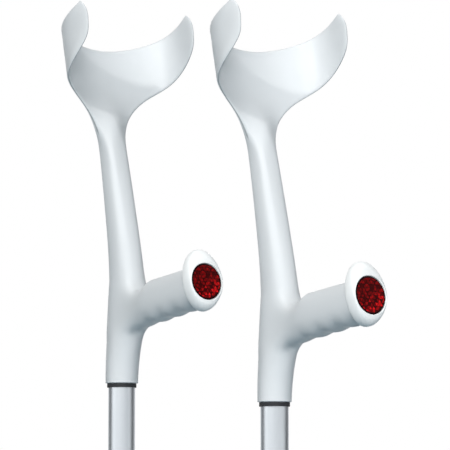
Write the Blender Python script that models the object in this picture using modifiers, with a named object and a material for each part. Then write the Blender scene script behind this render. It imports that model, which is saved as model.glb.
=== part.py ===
"""A pair of forearm crutches, standing side by side with their handles forward.

Each crutch is a one-piece moulding (arm cuff, stem, hand grip and socket) on an
aluminium tube. A thinner tube telescopes in it, locks with a snap button in one
of a row of holes, and stands on a rubber ferrule.

Units are metres, +Z is up, and the handles point along -Y. A crutch's own frame
has its origin on the ground under its tubes. The moulding's shape is given as
(side, forward, up) from the centre of its socket's rim.
"""

import math

import bmesh
import bpy
import numpy as np
from mathutils import Matrix, Vector

MM = 0.001

# Clearances, and how far a cutter reaches past what it cuts
FIT_GAP = 0.3 * MM
SEAT_GAP = 0.3 * MM
CUT_REACH = 30 * MM

# Tubes and the height adjustment
UPPER_TUBE_DIAMETER = 22 * MM
LOWER_TUBE_DIAMETER = 19 * MM
UPPER_TUBE_WALL = 1.2 * MM
LOWER_TUBE_WALL = 1.2 * MM
UPPER_TUBE_BELOW_RIM = 400 * MM
HOLE_COUNT = 13
HOLE_PITCH = 20 * MM
LOWEST_HOLE_ABOVE_END = 30 * MM
BUTTON_HEIGHT = 530 * MM
LOWER_TUBE_ABOVE_BUTTON = 40 * MM
REAR_NOTCH = 8
FRONT_NOTCH = 9

# Where the two crutches stand
SIDE_SPACING = 27.9 * MM
FORWARD_SPACING = 167 * MM

# Socket, seal ring and screw
SOCKET_DEPTH = 38 * MM
SOCKET_WALL = 2.1 * MM
SEAL_RING_WALL = 0.8 * MM
SEAL_RING_HEIGHT = 3.2 * MM
SCREW_ABOVE_RIM = 20 * MM
SCREW_SHANK_DIAMETER = 3.5 * MM
SCREW_HEAD_DIAMETER = 6.5 * MM
SCREW_HEAD_HEIGHT = 1.8 * MM
SCREW_HEAD_EDGE = 0.5 * MM
SCREW_REACH = 3 * MM
SCREW_TIP = 1 * MM

# Stem: half sizes of its section and how far forward its middle lies
BRANCH_HALF_DEPTH = 17.2 * MM
BRANCH_HALF_WIDTH = 13.8 * MM
BRANCH_FORWARD = 4.8 * MM
STEM_FOOT_HALF_DEPTH = 17.1 * MM
STEM_FOOT_HALF_WIDTH = 13.4 * MM
STEM_FOOT_FORWARD = 7.9 * MM
STEM_HEAD_HALF_DEPTH = 9.9 * MM
STEM_HEAD_HALF_WIDTH = 10.2 * MM
STEM_NECK_ABOVE_GRIP = 6.5 * MM
JUNCTION_SWELL = 0.5 * MM

# Hand grip, and its root where it spreads from the stem
GRIP_RISE = math.radians(7.6)
GRIP_END_FORWARD = 106 * MM
GRIP_MID_HEIGHT = 58.4 * MM
GRIP_HALF_WIDTH_ROOT = 12.8 * MM
GRIP_HALF_WIDTH = 15 * MM
GRIP_HALF_HEIGHT_ROOT = 18.4 * MM
GRIP_HALF_HEIGHT_END = 17 * MM
GRIP_SQUARENESS = 2.3
ROOT_FORWARD = 29 * MM
ROOT_RING_STEP = 6 * MM
ROOT_LENGTH = 12 * MM
ROOT_TOP_LEAD = 3 * MM
ROOT_SIDE_LAG = 4 * MM
ROOT_DIP = 6 * MM
ROOT_DIP_FORWARD = 36 * MM
ROOT_DIP_FADE = 16 * MM
SPREAD_FORWARD = 20 * MM
SPREAD_LENGTH = 45 * MM
FINGER_GROOVE_DEPTH = 1.1 * MM
FINGER_GROOVE_PITCH = 20 * MM
FINGER_GROOVES_LENGTH = 72 * MM

# The soft blend on the flanks where the grip leaves the stem: its middle and its reach
BLEND_FORWARD = 20 * MM
BLEND_HEIGHT = 62 * MM
BLEND_REACH_FORWARD = 17 * MM
BLEND_REACH_HEIGHT = 27 * MM
BLEND_FLANK = 8 * MM

# Grip end cap and reflector
FLANGE_WIDTH = 34 * MM
FLANGE_HEIGHT = 50 * MM
FLANGE_LIFT = 5 * MM
FLANGE_EDGE = 3 * MM
CAP_CHAMFER = 1 * MM
CAP_THICKNESS = 10.9 * MM
CAP_PLUG_DIAMETER = 20 * MM
CAP_PLUG_LENGTH = 16 * MM
REFLECTOR_DIAMETER = 29.2 * MM
REFLECTOR_LIFT = 2.7 * MM
REFLECTOR_THICKNESS = 2.6 * MM
REFLECTOR_CHAMFER = 0.8 * MM
BACKING_THICKNESS = 1 * MM
RECESS_LIP = 0.8 * MM

# Arm cuff: a sheet bent to a U and leaning back, with t measured up the sheet
CUFF_LEAN = math.radians(12)
CUFF_FOOT_FORWARD = -16.3 * MM
CUFF_FOOT_HEIGHT = 205 * MM
CUFF_HALF_WIDTH = 55.3 * MM
CUFF_DEPTH = 38 * MM
CUFF_SQUARENESS = 2.3
CUFF_HORN_LENGTH = 26 * MM
CUFF_HORN_DRAW_IN = 1.9 * MM
CUFF_SHEET = 3 * MM
CUFF_REACH = 98 * MM
CUFF_RISE = 96.5 * MM
RIB_HALF_THICKNESS = 8.5 * MM
RIB_HALF_WIDTH = 16 * MM
RIB_FADE = 46 * MM
SLOPE_STEP = 2 * MM

# Guide bush, plug, button and spring
BUSH_WALL = 1.5 * MM
BUSH_GRIP_LENGTH = 20 * MM
BUSH_LIP = 5 * MM
BUSH_CHAMFER = 0.8 * MM
PLUG_LENGTH = 12 * MM
PLUG_HEAD = 2.5 * MM
PLUG_HEAD_CHAMFER = 0.6 * MM
PLUG_TIP_CHAMFER = 1 * MM
BUTTON_DIAMETER = 8 * MM
BUTTON_PROUD = 2.2 * MM
BUTTON_CROWN = 1.4 * MM
BUTTON_FLANGE = 1.2 * MM
BUTTON_FLANGE_DIAMETER = 10 * MM
SPRING_WIDTH = 5 * MM
SPRING_STRIP = 0.6 * MM
SPRING_DROP = 34 * MM
SPRING_BEND = 2.5 * MM

# Ferrule
FERRULE_HEIGHT = 52 * MM
FERRULE_SOLE_THICKNESS = 9.4 * MM
FERRULE_NECK_WALL = 3.4 * MM
FERRULE_NECK_EDGE = 1 * MM
FERRULE_COLLAR_HEIGHT = 7 * MM
FERRULE_COLLAR_STEP = 2 * MM
FERRULE_COLLAR_PROUD = 0.8 * MM
FERRULE_FLARE_TOP = 30 * MM
FERRULE_FLARE_FOOT = 7 * MM
FERRULE_SOLE_RADIUS = 19.5 * MM
FERRULE_SOLE_EDGE = 1.2 * MM
FERRULE_SOLE_EDGE_HEIGHT = 2 * MM
TREAD_DEPTH = 1.5 * MM
TREAD_RIB = 1.6 * MM
TREAD_CENTRE_RADIUS = 10 * MM
WASHER_THICKNESS = 1.6 * MM

# Facets
ROUND_STEPS = 24
SMALL_STEPS = 16
HOLE_STEPS = 14
OVAL_STEPS = 32
RING_POINTS = 20
SUBDIVISIONS = 1

# Values that follow from the ones above
UPPER_TUBE_RADIUS = UPPER_TUBE_DIAMETER / 2
LOWER_TUBE_RADIUS = LOWER_TUBE_DIAMETER / 2
UPPER_BORE_RADIUS = UPPER_TUBE_RADIUS - UPPER_TUBE_WALL
LOWER_BORE_RADIUS = LOWER_TUBE_RADIUS - LOWER_TUBE_WALL
SOCKET_BORE_RADIUS = UPPER_TUBE_RADIUS + FIT_GAP
SOCKET_RADIUS = SOCKET_BORE_RADIUS + SOCKET_WALL
WASHER_TOP = FERRULE_SOLE_THICKNESS + SEAT_GAP + WASHER_THICKNESS
LOWER_TUBE_END = WASHER_TOP + SEAT_GAP
LOWER_TUBE_LENGTH = BUTTON_HEIGHT + LOWER_TUBE_ABOVE_BUTTON - LOWER_TUBE_END


def rim_height(notch):
    """Height of the socket's rim when the button sits in this hole, counted from the lowest."""
    tube_end = BUTTON_HEIGHT - LOWEST_HOLE_ABOVE_END - notch * HOLE_PITCH
    return tube_end + UPPER_TUBE_BELOW_RIM


def clear_scene():
    for thing in list(bpy.data.objects):
        bpy.data.objects.remove(thing)


def new_collection(name):
    collection = bpy.data.collections.new(name)
    bpy.context.scene.collection.children.link(collection)
    return collection


def material(name, colour, roughness, metallic=0.0):
    """A Principled material, made once for each name."""
    found = bpy.data.materials.get(name)
    if found:
        return found
    made = bpy.data.materials.new(name)
    made.use_nodes = True
    shader = made.node_tree.nodes["Principled BSDF"]
    shader.inputs["Base Color"].default_value = (*colour, 1.0)
    shader.inputs["Roughness"].default_value = roughness
    shader.inputs["Metallic"].default_value = metallic
    made.diffuse_color = (*colour, 1.0)
    return made


FINISHES = {
    "grey_white_plastic": ((0.70, 0.75, 0.79), 0.38, 0.0),
    "white_plastic": ((0.86, 0.88, 0.89), 0.35, 0.0),
    "red_reflector": ((0.30, 0.01, 0.015), 0.18, 0.0),
    "reflector_backing": ((0.05, 0.05, 0.05), 0.6, 0.0),
    "dark_rubber_ring": ((0.03, 0.03, 0.035), 0.7, 0.0),
    "satin_aluminium": ((0.62, 0.64, 0.66), 0.34, 1.0),
    "steel": ((0.55, 0.55, 0.56), 0.3, 1.0),
    "grey_plastic": ((0.33, 0.35, 0.37), 0.45, 0.0),
    "black_plastic": ((0.03, 0.03, 0.03), 0.5, 0.0),
    "grey_rubber": ((0.12, 0.12, 0.125), 0.8, 0.0),
}


def finish(thing, finish_name):
    """Gives a piece its own copy of a finish, named for the piece."""
    thing.data.materials.clear()
    thing.data.materials.append(material(f"{thing.name}_{finish_name}", *FINISHES[finish_name]))


def empty(name, collection, parent=None, location=(0, 0, 0)):
    thing = bpy.data.objects.new(name, None)
    thing.empty_display_size = 0.03
    thing.location = location
    thing.parent = parent
    collection.objects.link(thing)
    return thing


def mesh_object(name, points, edges, faces, collection, parent):
    mesh = bpy.data.meshes.new(name)
    mesh.from_pydata([tuple(map(float, point)) for point in points], edges, faces)
    mesh.update()
    thing = bpy.data.objects.new(name, mesh)
    thing.parent = parent
    collection.objects.link(thing)
    return thing


def smooth(thing, sharp_degrees=35):
    thing.data.shade_smooth()
    thing.data.set_sharp_from_angle(angle=math.radians(sharp_degrees))


def turned(name, profile, collection, parent, steps=ROUND_STEPS, closed=False, start=0.0):
    """A turned piece. The profile is (radius, height) pairs that run down its outer side.

    `start` is the angle of its first corner.
    """
    points = [(r * math.cos(start), r * math.sin(start), height) for r, height in profile]
    edges = [(i, i + 1) for i in range(len(points) - 1)]
    if closed:
        edges.append((len(points) - 1, 0))
    thing = mesh_object(name, points, edges, [], collection, parent)
    screw = thing.modifiers.new("turn", "SCREW")
    screw.steps = steps
    screw.render_steps = steps
    screw.use_merge_vertices = True
    screw.merge_threshold = 0.00001
    screw.use_smooth_shade = False
    return thing


def rod_cutter(name, radius, low, high, collection, parent, steps=ROUND_STEPS, start=0.0):
    """A plain cylinder about its own Z axis, for cutting."""
    profile = [(0, high), (radius, high), (radius, low), (0, low)]
    cutter = turned(name, profile, collection, parent, steps, start=start)
    cutter.hide_render = True
    cutter.display_type = "WIRE"
    return cutter


def cut(thing, cutter):
    boolean = thing.modifiers.new(f"cut_{cutter.name}", "BOOLEAN")
    boolean.operation = "DIFFERENCE"
    boolean.solver = "EXACT"
    boolean.object = cutter


def lay_along_rear(thing, height):
    """Turns a piece so that its own Z axis points to the rear, +Y, at this height."""
    thing.rotation_euler = (-math.pi / 2, 0, 0)
    thing.location = (0, 0, height)


# The moulding is one cage of rings, subdivided


def ring_angles():
    """Angles round a ring: from the left side over the front to the right side and the back."""
    return -math.pi / 2 + 2 * math.pi * np.arange(RING_POINTS) / RING_POINTS


def rounded(angles, squareness):
    """Unit rounded rectangle: 2 is a circle, more is squarer."""
    side = np.sign(np.sin(angles)) * np.abs(np.sin(angles)) ** (2 / squareness)
    ahead = np.sign(np.cos(angles)) * np.abs(np.cos(angles)) ** (2 / squareness)
    ahead[np.abs(np.cos(angles)) < 1e-9] = 0
    return side, ahead


def stem_ring(height, forward, half_depth, half_width, squareness):
    """A level ring of the socket or stem, with its middle this far forward."""
    side, ahead = rounded(ring_angles(), squareness)
    rises = np.full(RING_POINTS, height)
    return np.column_stack([half_width * side, forward + half_depth * ahead, rises])


GRIP_FOOT_RING = 3
GRIP_COLUMNS = range(1, 10)
GRIP_RING_POINTS = 2 * len(GRIP_COLUMNS) + 2
STEM_SHARES = (0.195, 0.394, 0.697, 0.928)


def between(low, high, share):
    return low + (high - low) * share


def grip_root_heights():
    """Heights of the grip's underside, middle and top where it leaves the stem."""
    middle = GRIP_MID_HEIGHT + STEM_FOOT_HALF_DEPTH * math.tan(GRIP_RISE)
    return middle - GRIP_HALF_HEIGHT_ROOT, middle, middle + GRIP_HALF_HEIGHT_ROOT


def socket_size(height):
    """How far forward the socket's middle is at this height, and its half depth and half width."""
    share = max(height, 0) / grip_root_heights()[0]
    forward = BRANCH_FORWARD * share**1.8
    half_depth = between(SOCKET_RADIUS, BRANCH_HALF_DEPTH, share**1.5)
    half_width = between(SOCKET_RADIUS, BRANCH_HALF_WIDTH, share)
    return forward, half_depth, half_width


def stem_rings():
    """Rings from below the rim, past the three that the grip grows from, to the cuff's foot."""
    foot, middle, head = grip_root_heights()
    rings = []
    for height in (-0.2 * foot, SCREW_ABOVE_RIM, between(SCREW_ABOVE_RIM, foot, 0.65)):
        rings.append(stem_ring(height, *socket_size(height), 2))
    rings.append(stem_ring(foot, *socket_size(foot), 2.2))
    forward = between(BRANCH_FORWARD, STEM_FOOT_FORWARD, 0.6)
    half_depth = max(BRANCH_HALF_DEPTH, STEM_FOOT_HALF_DEPTH) + JUNCTION_SWELL
    half_width = between(BRANCH_HALF_WIDTH, STEM_FOOT_HALF_WIDTH, 0.5)
    rings.append(stem_ring(middle, forward, half_depth, half_width, 2.3))
    foot_sizes = (STEM_FOOT_FORWARD, STEM_FOOT_HALF_DEPTH, STEM_FOOT_HALF_WIDTH)
    rings.append(stem_ring(head, *foot_sizes, 2.4))
    neck_share = STEM_NECK_ABOVE_GRIP / (CUFF_FOOT_HEIGHT - head)
    for share in (neck_share, *STEM_SHARES):
        forward = between(STEM_FOOT_FORWARD, CUFF_FOOT_FORWARD, share**1.2)
        half_depth = between(STEM_FOOT_HALF_DEPTH, STEM_HEAD_HALF_DEPTH, share**0.75)
        half_width = between(STEM_FOOT_HALF_WIDTH, STEM_HEAD_HALF_WIDTH, share**0.5)
        height = between(head, CUFF_FOOT_HEIGHT, share)
        rings.append(stem_ring(height, forward, half_depth, half_width, between(2.4, 3, share)))
    return rings


def cuff_section():
    """The U of the cuff: distance along it from the middle, and the side and depth there."""
    turn = np.linspace(0, math.pi / 2, 200)
    power = 2 / CUFF_SQUARENESS
    side = CUFF_HALF_WIDTH * np.sin(turn) ** power
    depth = CUFF_DEPTH - CUFF_DEPTH * np.clip(np.cos(turn), 0, 1) ** power
    side = np.append(side, CUFF_HALF_WIDTH - CUFF_HORN_DRAW_IN)
    depth = np.append(depth, CUFF_DEPTH + CUFF_HORN_LENGTH)
    steps = np.hypot(np.diff(side), np.diff(depth))
    return np.concatenate([[0], np.cumsum(steps)]), side, depth


def on_cuff(along, up_sheet, outward):
    """Points of the cuff, `along` the U, `up_sheet` from its foot and `outward` of the sheet."""
    distance, side, depth = cuff_section()
    reach = np.abs(along)
    at_side = np.interp(reach, distance, side)
    at_depth = np.interp(reach, distance, depth)
    ahead, back = reach + SLOPE_STEP, reach - SLOPE_STEP
    side_slope = np.interp(ahead, distance, side) - np.interp(back, distance, side)
    depth_slope = np.interp(ahead, distance, depth) - np.interp(back, distance, depth)
    middle = reach < SLOPE_STEP
    side_slope[middle] = 1
    depth_slope[middle] = 0
    length = np.hypot(side_slope, depth_slope)
    at_side = at_side + outward * depth_slope / length
    at_depth = at_depth - outward * side_slope / length
    lean_sin, lean_cos = math.sin(CUFF_LEAN), math.cos(CUFF_LEAN)
    ahead = CUFF_FOOT_FORWARD - up_sheet * lean_sin + at_depth * lean_cos
    rise = CUFF_FOOT_HEIGHT + up_sheet * lean_cos + at_depth * lean_sin
    return np.column_stack([np.sign(along) * at_side, ahead, rise])


# Edge of the cuff's sheet as a share of its reach and of its rise, and the ring's middle
CUFF_STATIONS = [
    (0.143, 0.062, 0.073),
    (0.190, 0.176, 0.187),
    (0.270, 0.280, 0.280),
    (0.403, 0.378, 0.383),
    (0.602, 0.466, 0.487),
    (0.806, 0.570, 0.591),
    (0.959, 0.684, 0.674),
    (1.000, 0.793, 0.731),
    (0.998, 0.907, 0.772),
    (0.944, 1.000, 0.798),
]
RIM_RISE_POWER = 1.6


def cuff_ring(edge_along, edge_up, middle_up):
    """A ring of the cuff: its front points on the inner face, its back points on the outer."""
    angles = ring_angles()
    share = np.sin(angles)
    along = edge_along * share
    up_sheet = middle_up + (edge_up - middle_up) * np.abs(share) ** RIM_RISE_POWER
    fade = np.clip(1 - up_sheet / RIB_FADE, 0, 1)
    rib = RIB_HALF_THICKNESS * fade * fade * (3 - 2 * fade)
    half = CUFF_SHEET / 2 + rib * np.exp(-((along / RIB_HALF_WIDTH) ** 2))
    squareness = 3 + 6 * min(1, middle_up / RIB_FADE)
    _, ahead = rounded(angles, squareness)
    return on_cuff(along, up_sheet, -half * ahead)


def cuff_rings():
    rings = []
    for along, up, middle in CUFF_STATIONS:
        rings.append(cuff_ring(along * CUFF_REACH, up * CUFF_RISE, middle * CUFF_RISE))
    return rings


def grip_ring(station):
    """A ring of the grip, square to its rising axis, with finger grooves in its underside.

    Near the stem the ring leans with the stem's front, its top dips by a raised cosine and
    it is narrower.
    """
    turns = -math.pi / 2 + 2 * math.pi * np.arange(GRIP_RING_POINTS) / GRIP_RING_POINTS
    side, up = rounded(turns, GRIP_SQUARENESS)
    upper, under = np.clip(up, 0, 1), np.clip(-up, 0, 1)
    root = np.clip((ROOT_FORWARD + ROOT_LENGTH - station) / ROOT_LENGTH, 0, 1)
    forward = station + root * (ROOT_TOP_LEAD * upper - ROOT_SIDE_LAG * np.abs(side))
    share = forward / GRIP_END_FORWARD
    half_height = between(GRIP_HALF_HEIGHT_ROOT, GRIP_HALF_HEIGHT_END, share)
    start = GRIP_END_FORWARD - FINGER_GROOVES_LENGTH
    wave = 0.5 - 0.5 * np.cos(2 * math.pi * (forward - start) / FINGER_GROOVE_PITCH)
    groove = np.where(forward > start, FINGER_GROOVE_DEPTH * wave * under, 0)
    spread = np.clip((forward - SPREAD_FORWARD) / SPREAD_LENGTH, 0, 1)
    across = side * between(GRIP_HALF_WIDTH_ROOT, GRIP_HALF_WIDTH, np.sin(spread * math.pi / 2))
    fade = np.clip((forward - ROOT_DIP_FORWARD) / ROOT_DIP_FADE, 0, 1)
    dip = ROOT_DIP * (0.5 + 0.5 * np.cos(math.pi * fade)) * upper
    lift = half_height * up + groove - dip
    ahead = forward - lift * math.sin(GRIP_RISE)
    rise = GRIP_MID_HEIGHT + forward * math.tan(GRIP_RISE) + lift * math.cos(GRIP_RISE)
    return np.column_stack([across, ahead, rise])


def grip_rings():
    """Two rings by the stem, then one at each crest and trough of the finger grooves."""
    stations = [ROOT_FORWARD, ROOT_FORWARD + ROOT_RING_STEP]
    step = FINGER_GROOVE_PITCH / 2
    station = GRIP_END_FORWARD - FINGER_GROOVES_LENGTH + step
    while station < GRIP_END_FORWARD + step:
        stations.append(station)
        station += step
    return [grip_ring(forward) for forward in stations]


def close_ring(points, faces, ring, columns):
    """Closes a ring with a middle row, so that every face has four corners."""
    near = ring[1 : columns + 1]
    far = ring[: columns + 1 : -1]
    middle = []
    for a, b in zip(near, far):
        middle.append(len(points))
        points.append((points[a] + points[b]) / 2)
    for i in range(columns - 1):
        faces.append((near[i], near[i + 1], middle[i + 1], middle[i]))
        faces.append((middle[i], middle[i + 1], far[i + 1], far[i]))
    faces.append((ring[0], near[0], middle[0], far[0]))
    faces.append((ring[columns + 1], far[-1], middle[-1], near[-1]))
    return middle


def cage():
    """Points and faces of the moulding's cage: the stem with its cuff, and the grip branching off."""
    rings = stem_rings() + cuff_rings()
    points = [point for ring in rings for point in ring]
    faces = []
    foot, head = GRIP_FOOT_RING, GRIP_FOOT_RING + 2
    for r in range(len(rings) - 1):
        for i in range(RING_POINTS):
            if foot <= r < head and i in GRIP_COLUMNS[:-1]:
                continue
            j = (i + 1) % RING_POINTS
            low, high = r * RING_POINTS, (r + 1) * RING_POINTS
            faces.append((low + i, low + j, high + j, high + i))
    close_ring(points, faces, list(range(RING_POINTS)), RING_POINTS // 2 - 1)
    last = (len(rings) - 1) * RING_POINTS
    crest = close_ring(points, faces, list(range(last, last + RING_POINTS)), RING_POINTS // 2 - 1)
    lift = Vector((0, -math.sin(CUFF_LEAN), math.cos(CUFF_LEAN))) * CUFF_SHEET / 2
    for index in crest:
        points[index] = points[index] + np.array(lift)

    first, final = GRIP_COLUMNS[0], GRIP_COLUMNS[-1]
    middle_row = (foot + 1) * RING_POINTS
    top_row = head * RING_POINTS
    bottom_row = foot * RING_POINTS
    loop = [middle_row + first]
    loop += [top_row + i for i in GRIP_COLUMNS]
    loop.append(middle_row + final)
    loop += [bottom_row + i for i in reversed(GRIP_COLUMNS)]
    for ring in grip_rings():
        start = len(points)
        points.extend(ring)
        following = list(range(start, start + len(loop)))
        for i in range(len(loop)):
            j = (i + 1) % len(loop)
            faces.append((loop[i], following[i], following[j], loop[j]))
        loop = following
    close_ring(points, faces, loop, len(GRIP_COLUMNS))
    return without_loose(np.array(points), faces)


def without_loose(points, faces):
    """Leaves out the points inside the grip's opening, which no face uses."""
    used = sorted({corner for face in faces for corner in face})
    place = {old: new for new, old in enumerate(used)}
    return points[used], [tuple(place[corner] for corner in face) for face in faces]


def looseness(points):
    """How freely each point may settle: near 1 on the flanks by the grip's root, 0 far away."""
    ahead = (points[:, 1] - BLEND_FORWARD) / BLEND_REACH_FORWARD
    above = (points[:, 2] - BLEND_HEIGHT) / BLEND_REACH_HEIGHT
    flank = 0.1 + 0.9 * np.clip(np.abs(points[:, 0]) / BLEND_FLANK, 0, 1) ** 2
    return np.exp(-np.hypot(ahead, above) ** 4) * flank


def pass_through(points, faces, rounds=6, settling_rounds=4):
    """Moves a cage so that its subdivided surface passes through the given points.

    On a cage of four-sided faces, a corner with n edges goes to the mean of n * n
    shares of itself, 4 of each edge's far end and 1 of each face's far corner. Loose
    points aren't moved out to meet it, and settle towards that mean instead.
    """
    count = len(points)
    pull = np.zeros((count, count))
    for face in faces:
        for k in range(4):
            pull[face[k], face[(k + 1) % 4]] += 2
            pull[face[k], face[(k + 3) % 4]] += 2
            pull[face[k], face[(k + 2) % 4]] += 1
    valence = pull.sum(axis=1) / 5
    pull[np.arange(count), np.arange(count)] += valence * valence
    pull /= (valence * (valence + 5))[:, None]
    loose = looseness(points)[:, None]
    moved = points.copy()
    for _ in range(rounds):
        moved += (points - pull @ moved) * (1 - loose)
    for _ in range(settling_rounds):
        moved += (pull @ moved - moved) * loose
    return moved


def to_part_axes(points):
    """From (side, forward, up) to the part's axes, in which forward is -Y."""
    return points * np.array([1, -1, 1])


def grip_frame(lift=0):
    """Place on the grip's end face: Z runs out along the grip, Y up and `lift` above its middle."""
    ahead = Vector((0, -math.cos(GRIP_RISE), math.sin(GRIP_RISE)))
    up = Vector((0, math.sin(GRIP_RISE), math.cos(GRIP_RISE)))
    rise = GRIP_MID_HEIGHT + GRIP_END_FORWARD * math.tan(GRIP_RISE)
    place = Vector((0, -GRIP_END_FORWARD, rise))
    side = up.cross(ahead)
    matrix = Matrix((side, up, ahead)).transposed().to_4x4()
    matrix.translation = place + up * lift
    return matrix


def build_moulding(prefix, upper, parts, cutters):
    points, faces = cage()
    points = to_part_axes(pass_through(points, faces))
    name = f"{prefix}_cuff_and_handle"
    moulding = mesh_object(name, points, [], faces, parts, upper)
    tidy = bmesh.new()
    tidy.from_mesh(moulding.data)
    bmesh.ops.recalc_face_normals(tidy, faces=tidy.faces)
    tidy.to_mesh(moulding.data)
    tidy.free()
    subdivision = moulding.modifiers.new("subdivision", "SUBSURF")
    subdivision.levels = SUBDIVISIONS
    subdivision.render_levels = SUBDIVISIONS

    in_socket = Matrix()
    in_grip = grip_frame()
    bore_top = SOCKET_DEPTH + SEAT_GAP
    plug_radius = CAP_PLUG_DIAMETER / 2 + FIT_GAP
    plug_depth = CAP_PLUG_LENGTH + SEAT_GAP
    rods = [("rim_trim", CUT_REACH, -CUT_REACH, 0, in_socket)]
    rods.append(("socket_bore", SOCKET_BORE_RADIUS, -CUT_REACH, bore_top, in_socket))
    rods.append(("grip_trim", CUT_REACH, 0, CUT_REACH, in_grip))
    rods.append(("cap_bore", plug_radius, -plug_depth, CUT_REACH, in_grip))
    for label, radius, low, high, place in rods:
        start = math.pi / ROUND_STEPS
        cutter = rod_cutter(f"{prefix}_{label}", radius, low, high, cutters, upper, start=start)
        cutter.matrix_local = place
        cut(moulding, cutter)
    shank = SCREW_SHANK_DIAMETER / 2 + FIT_GAP
    name = f"{prefix}_screw_hole"
    start = math.pi / SMALL_STEPS
    screw_hole = rod_cutter(name, shank, 0, CUT_REACH, cutters, upper, SMALL_STEPS, start)
    lay_along_rear(screw_hole, SCREW_ABOVE_RIM)
    cut(moulding, screw_hole)
    smooth(moulding)
    finish(moulding, "grey_white_plastic")


def oval_loft(name, rings, collection, parent):
    """A solid through oval rings, each (half width, half height, lift, height along Z)."""
    turns = 2 * math.pi * np.arange(OVAL_STEPS) / OVAL_STEPS
    points, faces = [], []
    for half_width, half_height, lift, along in rings:
        for turn in turns:
            points.append((half_width * math.cos(turn), lift + half_height * math.sin(turn), along))
    for r in range(len(rings) - 1):
        for i in range(OVAL_STEPS):
            j = (i + 1) % OVAL_STEPS
            low, high = r * OVAL_STEPS, (r + 1) * OVAL_STEPS
            faces.append((low + i, low + j, high + j, high + i))
    faces.append(tuple(reversed(range(OVAL_STEPS))))
    last = (len(rings) - 1) * OVAL_STEPS
    faces.append(tuple(range(last, last + OVAL_STEPS)))
    return mesh_object(name, points, [], faces, collection, parent)


def build_grip_end(prefix, upper, parts):
    """The oval flanged cap, its round reflector lens and the disc behind the lens."""
    half_width = FLANGE_WIDTH / 2
    half_height = FLANGE_HEIGHT / 2
    lens = REFLECTOR_DIAMETER / 2
    recess = lens + FIT_GAP
    plug = CAP_PLUG_DIAMETER / 2
    lip = recess + RECESS_LIP
    floor = CAP_THICKNESS - REFLECTOR_THICKNESS - BACKING_THICKNESS - 3 * SEAT_GAP
    chamfer = CAP_CHAMFER
    rings = [(plug - chamfer, plug - chamfer, 0, -CAP_PLUG_LENGTH)]
    rings.append((plug, plug, 0, -CAP_PLUG_LENGTH + chamfer))
    rings.append((plug, plug, 0, SEAT_GAP))
    rings.append((half_width - chamfer, half_height - chamfer, FLANGE_LIFT, SEAT_GAP))
    rings.append((half_width, half_height, FLANGE_LIFT, SEAT_GAP + chamfer))
    rings.append((half_width, half_height, FLANGE_LIFT, SEAT_GAP + FLANGE_EDGE))
    for turn in np.radians([25, 50, 72]):
        share = 1 - math.cos(turn)
        rise = math.sin(turn)
        across = between(half_width, lip, share)
        along = between(SEAT_GAP + FLANGE_EDGE, CAP_THICKNESS, rise)
        lift = between(FLANGE_LIFT, REFLECTOR_LIFT, share)
        rings.append((across, between(half_height, lip, share), lift, along))
    rings.append((lip, lip, REFLECTOR_LIFT, CAP_THICKNESS))
    rings.append((recess, recess, REFLECTOR_LIFT, CAP_THICKNESS - SEAT_GAP))
    rings.append((recess, recess, REFLECTOR_LIFT, floor))
    cap = oval_loft(f"{prefix}_grip_end_cap", rings, parts, upper)
    cap.matrix_local = grip_frame()
    smooth(cap)
    finish(cap, "white_plastic")

    backing_low = floor + SEAT_GAP
    backing_high = backing_low + BACKING_THICKNESS
    profile = [(0, backing_high), (lens, backing_high), (lens, backing_low), (0, backing_low)]
    backing = turned(f"{prefix}_reflector_back", profile, parts, upper)
    backing.matrix_local = grip_frame(REFLECTOR_LIFT)
    smooth(backing)
    finish(backing, "reflector_backing")

    low = backing_high + SEAT_GAP
    high = low + REFLECTOR_THICKNESS
    edge = REFLECTOR_CHAMFER
    profile = [(0, high), (lens - edge, high), (lens, high - edge), (lens, low), (0, low)]
    glass = turned(f"{prefix}_reflector_lens", profile, parts, upper)
    glass.matrix_local = grip_frame(REFLECTOR_LIFT)
    smooth(glass)
    finish(glass, "red_reflector")


def build_upper_tube(prefix, upper, parts, cutters):
    """The tube with its row of height holes, and the ring, screw and bush that go with it."""
    end = -UPPER_TUBE_BELOW_RIM
    bore = UPPER_BORE_RADIUS
    radius = UPPER_TUBE_RADIUS
    profile = [(bore, SOCKET_DEPTH), (radius, SOCKET_DEPTH), (radius, end), (bore, end)]
    tube = turned(f"{prefix}_upper_tube", profile, parts, upper, closed=True)
    hole = (BUTTON_DIAMETER / 2) + FIT_GAP
    for i in range(HOLE_COUNT):
        name = f"{prefix}_height_hole_{i}"
        cutter = rod_cutter(name, hole, 0, 2 * radius, cutters, upper, HOLE_STEPS)
        lay_along_rear(cutter, end + LOWEST_HOLE_ABOVE_END + i * HOLE_PITCH)
        cut(tube, cutter)
    shank = SCREW_SHANK_DIAMETER / 2 + FIT_GAP
    cutter = rod_cutter(f"{prefix}_tube_screw_hole", shank, 0, 2 * radius, cutters, upper, HOLE_STEPS)
    lay_along_rear(cutter, SCREW_ABOVE_RIM)
    cut(tube, cutter)
    smooth(tube)
    finish(tube, "satin_aluminium")

    inner = radius + FIT_GAP
    outer = inner + SEAL_RING_WALL
    top = -SEAT_GAP
    low = top - SEAL_RING_HEIGHT
    profile = [(inner, top), (outer, top), (outer, low), (inner, low)]
    ring = turned(f"{prefix}_socket_seal_ring", profile, parts, upper, closed=True)
    smooth(ring)
    finish(ring, "dark_rubber_ring")


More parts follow.
